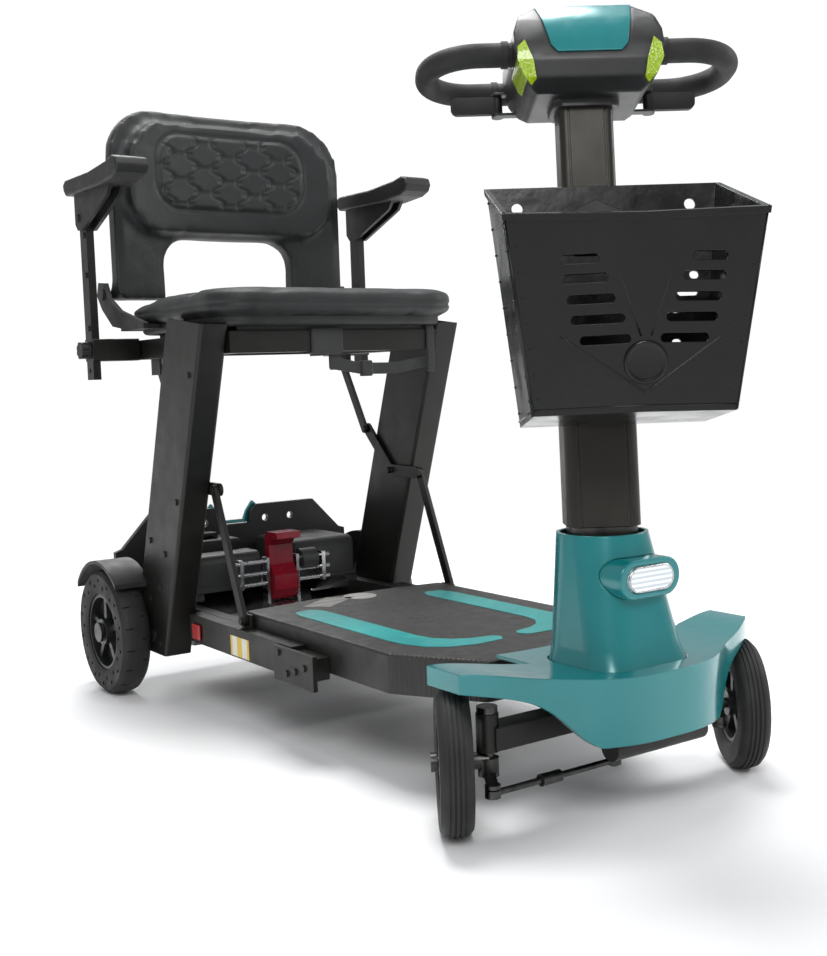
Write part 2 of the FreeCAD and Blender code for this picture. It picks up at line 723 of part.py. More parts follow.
def seat_outline(inset, rear, front):
    half = SEAT_HALF - inset
    return [(-half, rear), (half, rear), (half, front), (-half, front)]


def make_seat():
    pan = plan_prism(seat_outline(22, SEAT_REAR + 16, SEAT_FRONT - 24), 547, CUSHION_BOTTOM - 0.5)
    pan = rounded(pan, 50, upright)
    pan = rounded(pan, 7, lambda e: e.BoundBox.ZMax < 547.1)
    feet = box(-158, 158, 40, 300, SEAT_TUBE_TOP, 547)
    ear = side_prism([(120, 554), (60, 554), (0, 562), (-40, 590), (-58, 612), (-50, 632), (-28, 630), (-14, 606),
                      (26, 585), (120, 562)], 209, 217)
    ear = fused([ear, box(150, 210, 16, 112, 554, CUSHION_BOTTOM - 0.5), rod(9, (217, *BACK_HINGE), (220, *BACK_HINGE))])
    ear = ear.cut(rod(5 + PIN_FIT, (200, *BACK_HINGE), (216, *BACK_HINGE)))
    add("seat_pan", fused([pan, feet, ear, mirrored(ear)]))
    cushion = plan_prism(seat_outline(0, SEAT_REAR, SEAT_FRONT), CUSHION_BOTTOM, CUSHION_TOP)
    cushion = rounded(cushion, 62, upright)
    slope = side_prism([(SEAT_REAR - 1, CUSHION_TOP + 1), (SEAT_REAR - 1, CUSHION_TOP - 14), (70, CUSHION_TOP - 6),
                        (130, CUSHION_TOP + 0.2), (130, CUSHION_TOP + 1)], -SEAT_HALF - 1, SEAT_HALF + 1)
    cushion = cushion.cut(slope)
    add("seat_cushion", rounded(cushion, 11, lambda e: not upright(e)))


def make_strap():
    """A webbing belt below the front seat tube with a loop round the tube."""
    front = SEAT_TUBE_FRONT
    loop = box(-46, 6, front - 29, front + 3, SEAT_TUBE_TOP - 33, SEAT_TUBE_TOP + 3)
    loop = loop.cut(box(-50, 10, front - 26.5, front + 0.5, SEAT_TUBE_TOP - 30.5, SEAT_TUBE_TOP + 0.5))
    tail = box(-14, 6, front - 8, front - 5, 486, SEAT_TUBE_TOP - 33)
    belt = front_prism([(-14, 505), (40, 494), (100, 493), (171, 504), (171, 488), (100, 476), (40, 477), (-14, 486)],
                       front - 8, front - 5)
    clip = box(40, 58, front - 11, front - 3, 474, 497)
    tab = box(152, 166, front + 0.3, front + 3.3, 478, 548)
    add("seat_strap", Part.makeCompound([fused([loop, tail, belt, clip]), tab]))


def back_slab(front, thick, z0, z1):
    """A slab that bows forward at both sides, cut from two upright cylinders."""
    radius = (BACK_HALF ** 2 + BACK_BOW ** 2) / (2 * BACK_BOW)
    outer = Part.makeCylinder(radius + thick, z1 - z0, point(0, front + radius, z0))
    inner = Part.makeCylinder(radius, z1 - z0, point(0, front + radius, z0))
    return outer.cut(inner).common(box(-260, 260, front - thick - 1, front + 60, z0, z1))


def front_plate(half, z0, z1, radius_top, radius_low):
    plate = front_prism([(-half, z0), (half, z0), (half, z1), (-half, z1)], -160, 60)
    plate = rounded(plate, radius_top, lambda e: along_y(e) and e.BoundBox.ZMin > z1 - 1)
    return rounded(plate, radius_low, lambda e: along_y(e) and e.BoundBox.ZMax < z0 + 1)


def make_backrest():
    shell = back_slab(BACK_FACE, BACK_THICK, 560, BACK_TOP)
    shell = shell.common(front_plate(BACK_HALF, 602, BACK_TOP, 84, 20))
    window = front_prism([(-115, 560), (115, 560), (115, 698), (-115, 698)], -160, 60)
    window = rounded(window, 44, lambda e: along_y(e) and e.BoundBox.ZMin > 690)
    pad = back_slab(BACK_FACE + 17, 17, 700, 880).common(front_plate(180, 706, 884, 74, 60))
    hinge = [rod(5, (side * 196, *BACK_HINGE), (side * 215.5, *BACK_HINGE)) for side in (-1, 1)]
    lugs = [box(min(s * 188, s * 204), max(s * 188, s * 204), -46, -22, 602, 630) for s in (-1, 1)]
    add("backrest", fused([shell.cut(window), pad] + hinge + lugs))


# Armrests
def make_arm(side):
    inner = 13.2
    sleeve = box(174, ARM_X + 6, ARM_F - 17, ARM_F + 17, ARM_TUBE_Z - 17, ARM_TUBE_Z + 17)
    bore = box(170, 232, ARM_F - inner, ARM_F + inner, ARM_TUBE_Z - inner, ARM_TUBE_Z + inner)
    sleeve = rounded(sleeve, 3, along_x).cut(bore)
    post = box(ARM_X - 6, ARM_X + 6, ARM_F - 13, ARM_F + 13, 482, 726)
    head = rod(13, (ARM_X - 6, ARM_F, 726), (ARM_X + 6, ARM_F, 726))
    heads = [bolt_head(ARM_X + 6, ARM_F + 4, z, 1) for z in (560, 640, 700)]
    hole = rod(3.5, (ARM_X - 10, ARM_F, 496), (ARM_X + 20, ARM_F, 496))
    shape = fused([sleeve, post, head] + heads).cut(hole)
    shape = shape.cut(rod(4.0 + PIN_FIT, (ARM_X - 10, ARM_F, 726), (ARM_X + 10, ARM_F, 726)))
    return shape if side > 0 else mirrored(shape)


def make_pad(side):
    pad = side_prism([(-46, 778), (-44, 768), (-36, 760), (100, 758), (150, 762), (166, 768), (172, 778),
                      (168, 788), (154, 792), (132, 788), (60, 783), (-36, 784)], ARM_X - 25, ARM_X + 25)
    pad = rounded(pad, 4)
    web = side_prism([(-34, 760), (-34, 718), (-25, 708), (-8, 707), (98, 746), (110, 760)],
                     ARM_X + 6.4, ARM_X + 12)
    twin = web.translated(Vector(-18.4, 0, 0))
    tie = box(ARM_X - 12, ARM_X + 12, 14, 60, 752, 762)
    pin = rod(4, (ARM_X - 12, ARM_F, 726), (ARM_X + 12, ARM_F, 726))
    screw = rod(6, (ARM_X + 12, ARM_F, 726), (ARM_X + 15, ARM_F, 726))
    shape = fused([pad, web, twin, tie, pin, screw])
    return shape if side > 0 else mirrored(shape)


def make_knob(side):
    start = ARM_X + 6.5
    knob = rod(13, (start, ARM_F, ARM_TUBE_Z), (start + 15, ARM_F, ARM_TUBE_Z))
    flutes = []
    for index in range(8):
        angle = 2 * math.pi * index / 8
        f = ARM_F + 14.5 * math.cos(angle)
        z = ARM_TUBE_Z + 14.5 * math.sin(angle)
        flutes.append(rod(3, (start + 3, f, z), (start + 20, f, z)))
    shape = knob.cut(Part.makeCompound(flutes))
    return shape if side > 0 else mirrored(shape)


def make_seating():
    make_seat_frame()
    make_seat()
    make_strap()
    make_backrest()
    for name, side in (("left", 1), ("right", -1)):
        add(f"leg_{name}", make_leg(side))
        add(f"rocker_{name}", make_rocker(side))
        add(f"strut_{name}", make_strut(side))
        add(f"link_{name}", make_link(side))
        add(f"arm_post_{name}", make_arm(side))
        add(f"arm_pad_{name}", make_pad(side))
        add(f"arm_knob_{name}", make_knob(side))


# Tiller, made in its own upright frame with the hinge at height 0
BASKET_FLOOR = 106.0
BASKET_REAR = 50.0
BASKET_RIM = 361.0
RIM_SLOPE = 0.42
BASKET_SHIFT = 8.0
BASKET_CREASE = 7.0
FRONT_SLOTS = ((43.5, 79, 248), (35, 77, 230.5), (28.5, 73.5, 211.5), (19.5, 70, 193), (14, 61.5, 174))
REAR_SLOTS = ((88, 98, 262), (74, 96, 244), (66, 76, 226), (58, 94, 208), (66, 76, 190))
SLOT_HIGH = 8.2


def rim_height(forward):
    """The rim falls towards the front."""
    return BASKET_RIM - RIM_SLOPE * (forward - BASKET_REAR)


def basket_form(inset, lift=0.0):
    """A bucket that widens upward, with a low front rim and a shallow ridge down its front."""
    floor = BASKET_FLOOR + inset
    low = [(-98 + inset, BASKET_REAR + inset), (98 - inset, BASKET_REAR + inset), (98 - inset, 168 - inset),
           (BASKET_CREASE, 180 - inset), (-98 + inset, 168 - inset)]
    high = [(-124 + inset, BASKET_REAR + inset), (124 - inset, BASKET_REAR + inset), (124 - inset, 214 - inset),
            (BASKET_CREASE, 228 - inset), (-124 + inset, 214 - inset)]
    low_wire = Part.makePolygon([Vector(x + BASKET_SHIFT, -f, floor) for x, f in low + low[:1]])
    high_wire = Part.makePolygon([Vector(x + BASKET_SHIFT, -f, rim_height(f) + lift) for x, f in high + high[:1]])
    return Part.makeLoft([low_wire, high_wire], True, True)


def slot_tool(start, stop, t, y):
    """A slot with round ends, cut forward from the given depth."""
    low, high = min(start, stop), max(start, stop)
    half = SLOT_HIGH / 2
    ends = [Part.makeCylinder(half, 80, Vector(x, y, t), Vector(0, -1, 0)) for x in (low + half, high - half)]
    middle = Part.makeBox(max(high - low - SLOT_HIGH, 0.5), 80, SLOT_HIGH, Vector(low + half, y - 80, t - half))
    return fused(ends + [middle])


def make_basket():
    body = basket_form(0).cut(basket_form(3, 1.0))
    band = side_prism([(f, rim_height(f) + z) for f, z in ((40, -7), (240, -7), (240, 1), (40, 1))], -145, 150)
    lip = basket_form(-2.5).cut(basket_form(0.0, 2.0)).common(band)
    body = fused([body, lip.common(box(-150, 150, BASKET_REAR, 240, 0, 400))])
    cuts = []
    middle = BASKET_SHIFT + BASKET_CREASE
    for side in (-1, 1):
        for inner, outer, t in FRONT_SLOTS:
            cuts.append(slot_tool(middle + side * inner, middle + side * outer, t, -150))
        for inner, outer, t in REAR_SLOTS:
            cuts.append(slot_tool(BASKET_SHIFT + side * inner, BASKET_SHIFT + side * outer, t, -20))
        hole = Vector(BASKET_SHIFT + side * 92, 6 - BASKET_REAR, 338)
        cuts.append(Part.makeCylinder(6, 20, hole, Vector(0, -1, 0)))
    body = body.cut(Part.makeCompound(cuts))
    add("basket", on_tiller(body))


def make_mast():
    lower = section_bar(TUBE_WIDE, TUBE_DEEP, TUBE_ROUND, -14, TUBE_LENGTH)
    below = Part.makeBox(200, 200, 40, Vector(-100, -100, TUBE_FOOT - HINGE_Z - 40))
    below.rotate(Vector(0, 0, 0), Vector(1, 0, 0), LEAN)
    lower = lower.cut(below)
    bore = section_bar(MAST_WIDE + 2 * FIT, MAST_DEEP + 2 * FIT, MAST_ROUND, 40, TUBE_LENGTH + 1)
    grooves = [Part.makeBox(3, 3, TUBE_LENGTH + 20, Vector(x - 1.5, -TUBE_DEEP / 2 - 1.5, -20)) for x in (-26, 26)]
    relief = Part.makeCylinder(HINGE_RADIUS + 0.8, 29, Vector(-14.5, HINGE_BACK, HINGE_UP), Vector(1, 0, 0))
    lower = lower.cut(bore).cut(Part.makeCompound(grooves + [relief]))
    barrels = []
    for x in (-20.5, 14.5):
        barrels.append(Part.makeCylinder(HINGE_RADIUS, 6, Vector(x, HINGE_BACK, HINGE_UP), Vector(1, 0, 0)))
        barrels.append(Part.makeBox(6, 12, 12, Vector(x, 26, HINGE_UP + 1)))
    barrels.append(Part.makeCylinder(2.5, 40, Vector(-20, HINGE_BACK, HINGE_UP), Vector(1, 0, 0)))
    bracket = Part.makeBox(58, 19, 34, Vector(-29, -BASKET_REAR + 0.2, 286))
    foot = Part.makeBox(58, 19, 16, Vector(-29, -BASKET_REAR + 0.2, 130))
    add("tiller_tube", on_tiller(fused([lower, bracket, foot] + barrels)))
    upper = section_bar(MAST_WIDE, MAST_DEEP, MAST_ROUND, 190, MAST_TOP)
    strips = [Part.makeBox(2.5, 2.5, MAST_TOP, Vector(x - 1.25, -MAST_DEEP / 2 - 1.2, 0)) for x in (-20, 20)]
    add("tiller_mast", on_tiller(upper.cut(Part.makeCompound(strips))))


CONSOLE_FRONT = [(-56, 464), (56, 464), (65, 471), (75, 488), (80, 510), (80, 530), (73, 551), (54, 566),
                 (-54, 566), (-73, 551), (-80, 530), (-80, 510), (-75, 488), (-65, 471)]
CONSOLE_SIDE = [(44, 464), (58, 478), (61, 496), (56, 518), (44, 545), (24, 566), (-24, 566), (-62, 546),
                (-74, 512), (-64, 480), (-50, 464)]


def console_form(grow):
    """The console is the meeting of its front and side outlines."""
    middle = 505.0
    scale_x = (82 + grow) / 82
    scale_f = (62 + grow) / 62
    scale_t = (62 + grow) / 62
    front = [(x * scale_x, middle + (t - middle) * scale_t) for x, t in CONSOLE_FRONT]
    side = [(f * scale_f, middle + (t - middle) * scale_t) for f, t in CONSOLE_SIDE]
    return front_prism(front, -100, 100).common(side_prism(side, -100, 100))


def make_console():
    shell = console_form(0)
    skin = console_form(1.6).cut(console_form(-1.5))
    panel = front_prism([(-56, 585), (56, 585), (41, 512), (34, 504), (-34, 504), (-41, 512)], 5, 90).common(skin)
    lamp = front_prism([(-69, 519), (-77, 511), (-78, 495), (-72, 480), (-63, 471), (-58, 476), (-61, 495)], 5, 90)
    lamp = lamp.common(skin)
    lamps = both(lamp).cut(ring_form(RING_RADIUS + 0.1))
    shell = shell.cut(panel).cut(lamps)
    shell = shell.cut(ring_form(RING_RADIUS + 0.05))
    foot = section_bar(MAST_WIDE + 14, MAST_DEEP + 14, 12, 456, 465)
    socket = section_bar(MAST_WIDE, MAST_DEEP, MAST_ROUND, 430, MAST_TOP)
    add("console_shell", on_tiller(fused([shell, foot] + throttle_mount()).cut(socket)))
    add("console_panel", on_tiller(panel))
    add("console_lamps", on_tiller(lamps))
    dial = Part.makeCylinder(13, 6.5, Vector(0, 74.5, 508), Vector(0, 1, 0))
    grip = Part.makeBox(5, 4, 24, Vector(-2.5, 80, 496))
    add("speed_dial", on_tiller(fused([dial, grip])))


RING_FRONT = 22.0
RING_REAR = -100.0
RING_BEND = 56.0


def ring_path():
    """A flat loop with four round corners, wider than it is deep."""
    half, front, rear, bend = RING_HALF, -RING_FRONT, -RING_REAR, RING_BEND
    corners = [Vector(half, front, RING_T), Vector(half, rear, RING_T),
               Vector(-half, rear, RING_T), Vector(-half, front, RING_T)]
    edges = []
    for index in range(4):
        here, after = corners[index], corners[(index + 1) % 4]
        before = corners[index - 1]
        inward = (before - here).normalize()
        onward = (after - here).normalize()
        start = here + inward * bend
        stop = here + onward * bend
        middle = here + (inward + onward) * (bend * (1 - math.sqrt(0.5)))
        edges.append(Part.Arc(start, middle, stop).toShape())
        edges.append(Part.makeLine(stop, after - onward * bend))
    return Part.Wire(edges)


def ring_form(radius):
    path = ring_path()
    start = path.Edges[0].valueAt(path.Edges[0].FirstParameter)
    tangent = path.Edges[0].tangentAt(path.Edges[0].FirstParameter)
    circle = Part.Wire([Part.makeCircle(radius, start, tangent)])
    return path.makePipeShell([circle], True, False)


def make_ring():
    ring = ring_form(RING_RADIUS)
    collars = []
    for side in (-1, 1):
        x = side * 84
        collars.append(Part.makeCylinder(14.6, 7, Vector(x, -RING_FRONT, RING_T), Vector(side, 0, 0)))
        collars.append(Part.makeCylinder(14.6, 7, Vector(x, -RING_REAR, RING_T), Vector(side, 0, 0)))
    add("grip_ring", on_tiller(fused([ring] + collars)))


def make_throttle(side):
    blade = Part.makeBox(58, 9, 20, Vector(84, 62, 480))
    blade = rounded(blade, 8, lambda e: along_y(e) and e.BoundBox.XMin > 130)
    blade = rounded(blade, 2.5, lambda e: e.BoundBox.YMin > 70.9)
    barrel = Part.makeCylinder(6, 20, Vector(88, 66.5, 480))
    shape = fused([blade, barrel]).cut(Part.makeCylinder(3 + PIN_FIT, 30, Vector(88, 66.5, 475)))
    return on_tiller(shape if side > 0 else mirrored(shape))


def throttle_mount():
    """Lugs and pins that stand out of the console to carry the throttle blades."""
    pieces = []
    for side in (-1, 1):
        x = side * 88
        pieces.append(Part.makeCylinder(3, 24, Vector(x, 66.5, 478.5)))
        pieces.append(Part.makeCylinder(7, 2.5, Vector(x, 66.5, 476.5)))
        low = min(side * 60, side * 92)
        pieces.append(Part.makeBox(32, 12, 2.5, Vector(low, 56, 476.5)))
        pieces.append(Part.makeCylinder(7, 3, Vector(x, 66.5, 500.5)))
        pieces.append(Part.makeBox(32, 12, 3, Vector(low, 56, 500.5)))
    return pieces


def make_tiller():
    make_mast()
    make_basket()
    make_console()
    make_ring()
    add("throttle_left", make_throttle(1))
    add("throttle_right", make_throttle(-1))


TRIMS = (
    ("rear_frame", "drive_unit"), ("drive_covers", "lock_rods"), ("drive_covers", "drive_unit"),
    ("rear_housing", "fender_left"), ("rear_housing", "fender_right"), ("fender_left", "leg_left"),
    ("fender_right", "leg_right"), ("leg_left", "rear_frame"), ("leg_right", "rear_frame"),
    ("leg_left", "seat_cushion"), ("leg_right", "seat_cushion"), ("seat_pan", "leg_left"), ("seat_pan", "leg_right"), ("seat_frame", "link_left"),
    ("seat_frame", "link_right"), ("seat_strap", "seat_pan"), ("deck_board", "front_chassis"),
    ("bumper", "front_chassis"),
)


def trim_neighbours():
    """Where two fixed pieces meet, the first is let into the second."""
    for name, other in TRIMS:
        rest = PARTS[name].cut(PARTS[other])
        count = 2 if name == "seat_strap" else 1
        kept = sorted(rest.Solids, key=lambda solid: solid.Volume)[-count:]
        PARTS[name] = kept[0] if count == 1 else Part.makeCompound(kept)


def write_parts():
    """Centre the scooter over the origin and write one file per piece."""
    whole = Part.makeCompound(list(PARTS.values())).optimalBoundingBox(False)
    shift = Vector(-whole.Center.x, -whole.Center.y, 0)
    os.makedirs("parts", exist_ok=True)
    for name, shape in PARTS.items():
        shape.translated(shift).exportStep(f"parts/{name}.step")
    print(f"{len(PARTS)} parts, shift {shift.x:.4f} {shift.y:.4f}")
    print(f"size {whole.XLength:.1f} {whole.YLength:.1f} {whole.ZLength:.1f}")


make_wheels()
make_rear()
make_front()
make_seating()
make_tiller()
trim_neighbours()
write_parts()
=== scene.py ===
import json
import math

import bmesh
import bpy
from mathutils import Matrix, Vector


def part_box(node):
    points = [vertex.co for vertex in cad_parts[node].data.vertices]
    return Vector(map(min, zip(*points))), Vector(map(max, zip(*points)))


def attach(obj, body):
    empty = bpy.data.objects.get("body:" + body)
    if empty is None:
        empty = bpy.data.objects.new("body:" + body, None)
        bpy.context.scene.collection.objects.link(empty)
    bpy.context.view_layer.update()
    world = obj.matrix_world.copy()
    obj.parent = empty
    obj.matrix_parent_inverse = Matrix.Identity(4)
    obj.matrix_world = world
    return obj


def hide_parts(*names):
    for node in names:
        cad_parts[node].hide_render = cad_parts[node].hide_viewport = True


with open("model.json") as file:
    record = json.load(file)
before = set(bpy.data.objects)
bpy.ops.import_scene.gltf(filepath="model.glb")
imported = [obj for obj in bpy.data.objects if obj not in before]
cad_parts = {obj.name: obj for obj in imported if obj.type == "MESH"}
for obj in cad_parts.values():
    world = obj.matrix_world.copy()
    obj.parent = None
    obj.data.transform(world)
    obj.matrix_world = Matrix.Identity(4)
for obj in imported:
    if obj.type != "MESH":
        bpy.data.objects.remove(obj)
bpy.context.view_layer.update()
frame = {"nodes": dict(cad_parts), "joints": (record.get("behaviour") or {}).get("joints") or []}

NODES = frame["nodes"]
JOINTS = {joint["name"]: joint for joint in frame["joints"]}
AXLE_Y = JOINTS["rear_wheel_left_spin"]["pos_m"][1]
MM = 0.001
HINGE_BACK = 36
HINGE_UP = 8
SAME_SPOT = 0.00001
CORNER_ANGLE = math.radians(32)


# Places
def place(x, forward, z):
    """A point given in millimetres: to the rider's left, ahead of the rear axle, up."""
    return Vector((x * MM, AXLE_Y - forward * MM, z * MM))


def tiller_frame():
    """The turned and leaned axes of the tiller, with the foot of the tube as origin."""
    fold = JOINTS["tiller_fold"]
    across = -Vector(fold["axis"]).normalized()
    up = Vector(JOINTS["tiller_height"]["axis"]).normalized()
    back = up.cross(across)
    foot = Vector(fold["pos_m"]) - back * HINGE_BACK * MM - up * HINGE_UP * MM
    axes = Matrix((across, back, up)).transposed().to_4x4()
    return Matrix.Translation(foot) @ axes


TILLER = tiller_frame()


def on_tiller(x, forward, up):
    return TILLER @ Vector((x * MM, -forward * MM, up * MM))


# Materials
class Surface:
    """A node material that is filled in step by step."""

    def __init__(self, name):
        self.material = bpy.data.materials.new(name)
        self.material.use_nodes = True
        self.tree = self.material.node_tree
        self.tree.nodes.clear()
        self.shader = self.node("ShaderNodeBsdfPrincipled")
        self.output = self.node("ShaderNodeOutputMaterial")
        self.link(self.shader.outputs["BSDF"], self.output.inputs["Surface"])
        self.coords = self.node("ShaderNodeTexCoord").outputs["Object"]

    def node(self, kind, **values):
        made = self.tree.nodes.new(kind)
        for key, value in values.items():
            setattr(made, key, value)
        return made

    def link(self, source, target):
        self.tree.links.new(source, target)

    def noise(self, scale, detail=3.0):
        made = self.node("ShaderNodeTexNoise")
        made.inputs["Scale"].default_value = scale
        made.inputs["Detail"].default_value = detail
        self.link(self.coords, made.inputs["Vector"])
        return made.outputs["Fac"]

    def cells(self, scale):
        made = self.node("ShaderNodeTexVoronoi")
        made.inputs["Scale"].default_value = scale
        self.link(self.coords, made.inputs["Vector"])
        return made.outputs["Distance"]

    def wave(self, scale, direction, distortion=0.0):
        made = self.node("ShaderNodeTexWave", bands_direction=direction)
        made.inputs["Scale"].default_value = scale
        made.inputs["Distortion"].default_value = distortion
        self.link(self.coords, made.inputs["Vector"])
        return made.outputs["Fac"]

    def spread(self, value, low, high, start=0.3, stop=0.7):
        made = self.node("ShaderNodeMapRange")
        made.inputs["From Min"].default_value = start
        made.inputs["From Max"].default_value = stop
        made.inputs["To Min"].default_value = low
        made.inputs["To Max"].default_value = high
        self.link(value, made.inputs["Value"])
        return made.outputs["Result"]

    def ramp(self, value, dark, light, start=0.3, stop=0.7):
        made = self.node("ShaderNodeValToRGB")
        made.color_ramp.elements[0].position = start
        made.color_ramp.elements[0].color = (*dark, 1)
        made.color_ramp.elements[1].position = stop
        made.color_ramp.elements[1].color = (*light, 1)
        self.link(value, made.inputs["Fac"])
        return made.outputs["Color"]

    def math(self, operation, first, second):
        made = self.node("ShaderNodeMath", operation=operation)
        for socket, value in zip(made.inputs, (first, second)):
            if isinstance(value, (int, float)):
                socket.default_value = value
            else:
                self.link(value, socket)
        return made.outputs["Value"]

    def blend(self, amount, first, second):
        made = self.node("ShaderNodeMix", data_type="RGBA")
        self.link(amount, made.inputs["Factor"])
        self.link(first, made.inputs[6])
        if isinstance(second, tuple):
            made.inputs[7].default_value = (*second, 1)
        else:
            self.link(second, made.inputs[7])
        return made.outputs[2]

    def bevelled(self, radius):
        made = self.node("ShaderNodeBevel", samples=4)
        made.inputs["Radius"].default_value = radius
        return made.outputs["Normal"]

    def edge_mask(self, radius):
        """1 on worn corners and 0 on open faces."""
        geometry = self.node("ShaderNodeNewGeometry")
        dot = self.node("ShaderNodeVectorMath", operation="DOT_PRODUCT")
        self.link(self.bevelled(radius), dot.inputs[0])
        self.link(geometry.outputs["Normal"], dot.inputs[1])
        return self.spread(dot.outputs["Value"], 1.0, 0.0, 0.80, 0.98)

    def bump(self, height, depth, normal=None):
        made = self.node("ShaderNodeBump")
        made.inputs["Distance"].default_value = depth
        made.inputs["Strength"].default_value = 1.0
        self.link(height, made.inputs["Height"])
        if normal is not None:
            self.link(normal, made.inputs["Normal"])
        return made.outputs["Normal"]

    def finish(self, color=None, rough=None, normal=None, **constants):
        if color is not None:
            self.link(color, self.shader.inputs["Base Color"])
        if rough is not None:
            self.link(rough, self.shader.inputs["Roughness"])
        if normal is not None:
            self.link(normal, self.shader.inputs["Normal"])
        for key, value in constants.items():
            self.shader.inputs[key.replace("_", " ")].default_value = value
        return self.material


def coated_metal(name, dark, light, worn, metallic=0.35, rough=(0.34, 0.46)):
    """Powder-coated metal: mottled colour, orange peel and corners rubbed paler."""
    made = Surface(name)
    color = made.ramp(made.noise(9), dark, light)
    rubbed = made.math("MULTIPLY", made.edge_mask(0.0016), made.spread(made.noise(60), 0.15, 0.75))
    color = made.blend(rubbed, color, worn)
    peel = made.bump(made.noise(900, 2.0), 0.00012, made.bevelled(0.0012))
    return made.finish(color, made.spread(made.noise(35), *rough), peel, Metallic=metallic)


def moulded(name, dark, light, rough=(0.42, 0.58), grain=1500, depth=0.00012, radius=0.001, coat=0.0):
    """Moulded plastic with a fine spark-eroded grain."""
    made = Surface(name)
    color = made.ramp(made.noise(16), dark, light)
    normal = made.bump(made.cells(grain), depth, made.bevelled(radius))
    return made.finish(color, made.spread(made.noise(45), *rough), normal, Coat_Weight=coat,
                       Coat_Roughness=0.12)


def gloss_paint(name, dark, light):
    """Deep gloss paint with a faint sparkle, slight waviness and hairline scuffs."""
    made = Surface(name)
    color = made.ramp(made.noise(5), dark, light)
    fleck = made.spread(made.cells(2600), 0.25, 0.0, 0.0, 0.25)
    color = made.blend(fleck, color, tuple(min(1.0, value * 1.7) for value in light))
    waves = made.bump(made.noise(38, 1.0), 0.00035, made.bevelled(0.0022))
    return made.finish(color, made.spread(made.noise(70), 0.16, 0.27), waves, Metallic=0.15,
                       Coat_Weight=0.5, Coat_Roughness=0.08)


def gloss_plastic(name, dark, light, rough=(0.14, 0.28)):
    made = Surface(name)
    color = made.ramp(made.noise(20), dark, light)
    scuff = made.math("MULTIPLY", made.spread(made.noise(160, 6.0), 0.0, 0.12, 0.55, 0.75),
                      made.spread(made.noise(6), 0.0, 1.0))
    rough_value = made.math("ADD", made.spread(made.noise(28), *rough), scuff)
    normal = made.bump(made.noise(55, 2.0), 0.0003, made.bevelled(0.0012))
    return made.finish(color, rough_value, normal, Specular_IOR_Level=0.35)


def leatherette(name, dark, light):
    """Coated upholstery: pebbled cells with creases between them and a soft sheen."""
    made = Surface(name)
    color = made.ramp(made.noise(12), dark, light)
    pebble = made.math("ADD", made.cells(620), made.math("MULTIPLY", made.noise(1400), 0.4))
    normal = made.bump(pebble, 0.00022)
    return made.finish(color, made.spread(made.noise(40), 0.44, 0.6), normal, Sheen_Weight=0.08,
                       Sheen_Roughness=0.4)


def tyre_rubber(name, dark, light):
    made = Surface(name)
    dust = made.spread(made.noise(24, 6.0), 0.0, 0.5, 0.5, 0.75)
    color = made.blend(dust, made.ramp(made.noise(60), dark, light), (0.022, 0.021, 0.019))
    normal = made.bump(made.noise(700, 4.0), 0.00025, made.bevelled(0.0008))
    return made.finish(color, made.spread(made.noise(30), 0.55, 0.8), normal)


def brushed(name, dark, light, rough=(0.2, 0.36)):
    made = Surface(name)
    color = made.ramp(made.noise(80), dark, light)
    lines = made.bump(made.wave(500, "X", 2.0), 0.00001)
    return made.finish(color, made.spread(made.noise(120), *rough), lines, Metallic=1.0)


def woven(name, dark, light):
    """Webbing: ribs one way crossed by ribs the other."""
    made = Surface(name)
    weave = made.math("MULTIPLY", made.wave(320, "X"), made.wave(320, "Z"))
    color = made.ramp(weave, dark, light, 0.1, 0.8)
    return made.finish(color, made.spread(made.noise(90), 0.75, 0.92), made.bump(weave, 0.0006),
                       Sheen_Weight=0.3)


def deck_mat(name):
    """A rubber tread of small raised squares, greyed where feet rub it."""
    made = Surface(name)
    squares = made.math("MULTIPLY", made.wave(105, "X"), made.wave(105, "Y"))
    rubbed = made.spread(made.noise(7, 4.0), 0.0, 0.6)
    base = made.ramp(made.noise(30), (0.008, 0.008, 0.0075), (0.014, 0.0135, 0.0125))
    color = made.blend(rubbed, base, (0.026, 0.0245, 0.022))
    normal = made.bump(made.math("ADD", squares, made.math("MULTIPLY", made.noise(900), 0.5)), 0.0005,
                       made.bevelled(0.0015))
    return made.finish(color, made.spread(made.noise(50), 0.38, 0.56), normal)


def reflector(name, dark, light):
    """Cube-corner plastic: bright cells under a clear skin."""
    made = Surface(name)
    color = made.ramp(made.cells(420), light, dark, 0.1, 0.6)
    return made.finish(color, made.spread(made.noise(60), 0.1, 0.22), made.bump(made.cells(420), 0.0005),
                       Coat_Weight=1.0, Coat_Roughness=0.03)


def lamp_face(name):
    """A clear cover moulded with fine upright ribs over a lit reflector."""
    made = Surface(name)
    ribs = made.wave(420, "X")
    color = made.ramp(ribs, (0.42, 0.48, 0.52), (0.88, 0.93, 0.97), 0.1, 0.8)
    glow = made.spread(made.math("MULTIPLY", ribs, made.wave(60, "Z")), 0.25, 1.1, 0.1, 0.8)
    made.link(color, made.shader.inputs["Emission Color"])
    made.link(glow, made.shader.inputs["Emission Strength"])
    return made.finish(color, made.spread(made.noise(80), 0.05, 0.14), made.bump(ribs, 0.0006),
                       Coat_Weight=1.0, Coat_Roughness=0.02)


def printed(name, ground, band, scale):
    """A plain two-tone sticker with no lettering."""
    made = Surface(name)
    edge = made.spread(made.wave(scale, "Y"), 0.0, 1.0, 0.45, 0.55)
    color = made.blend(edge, made.ramp(made.noise(40), ground, tuple(v * 0.93 for v in ground)), band)
    return made.finish(color, made.spread(made.noise(90), 0.3, 0.45), made.bump(made.noise(300), 0.0001))


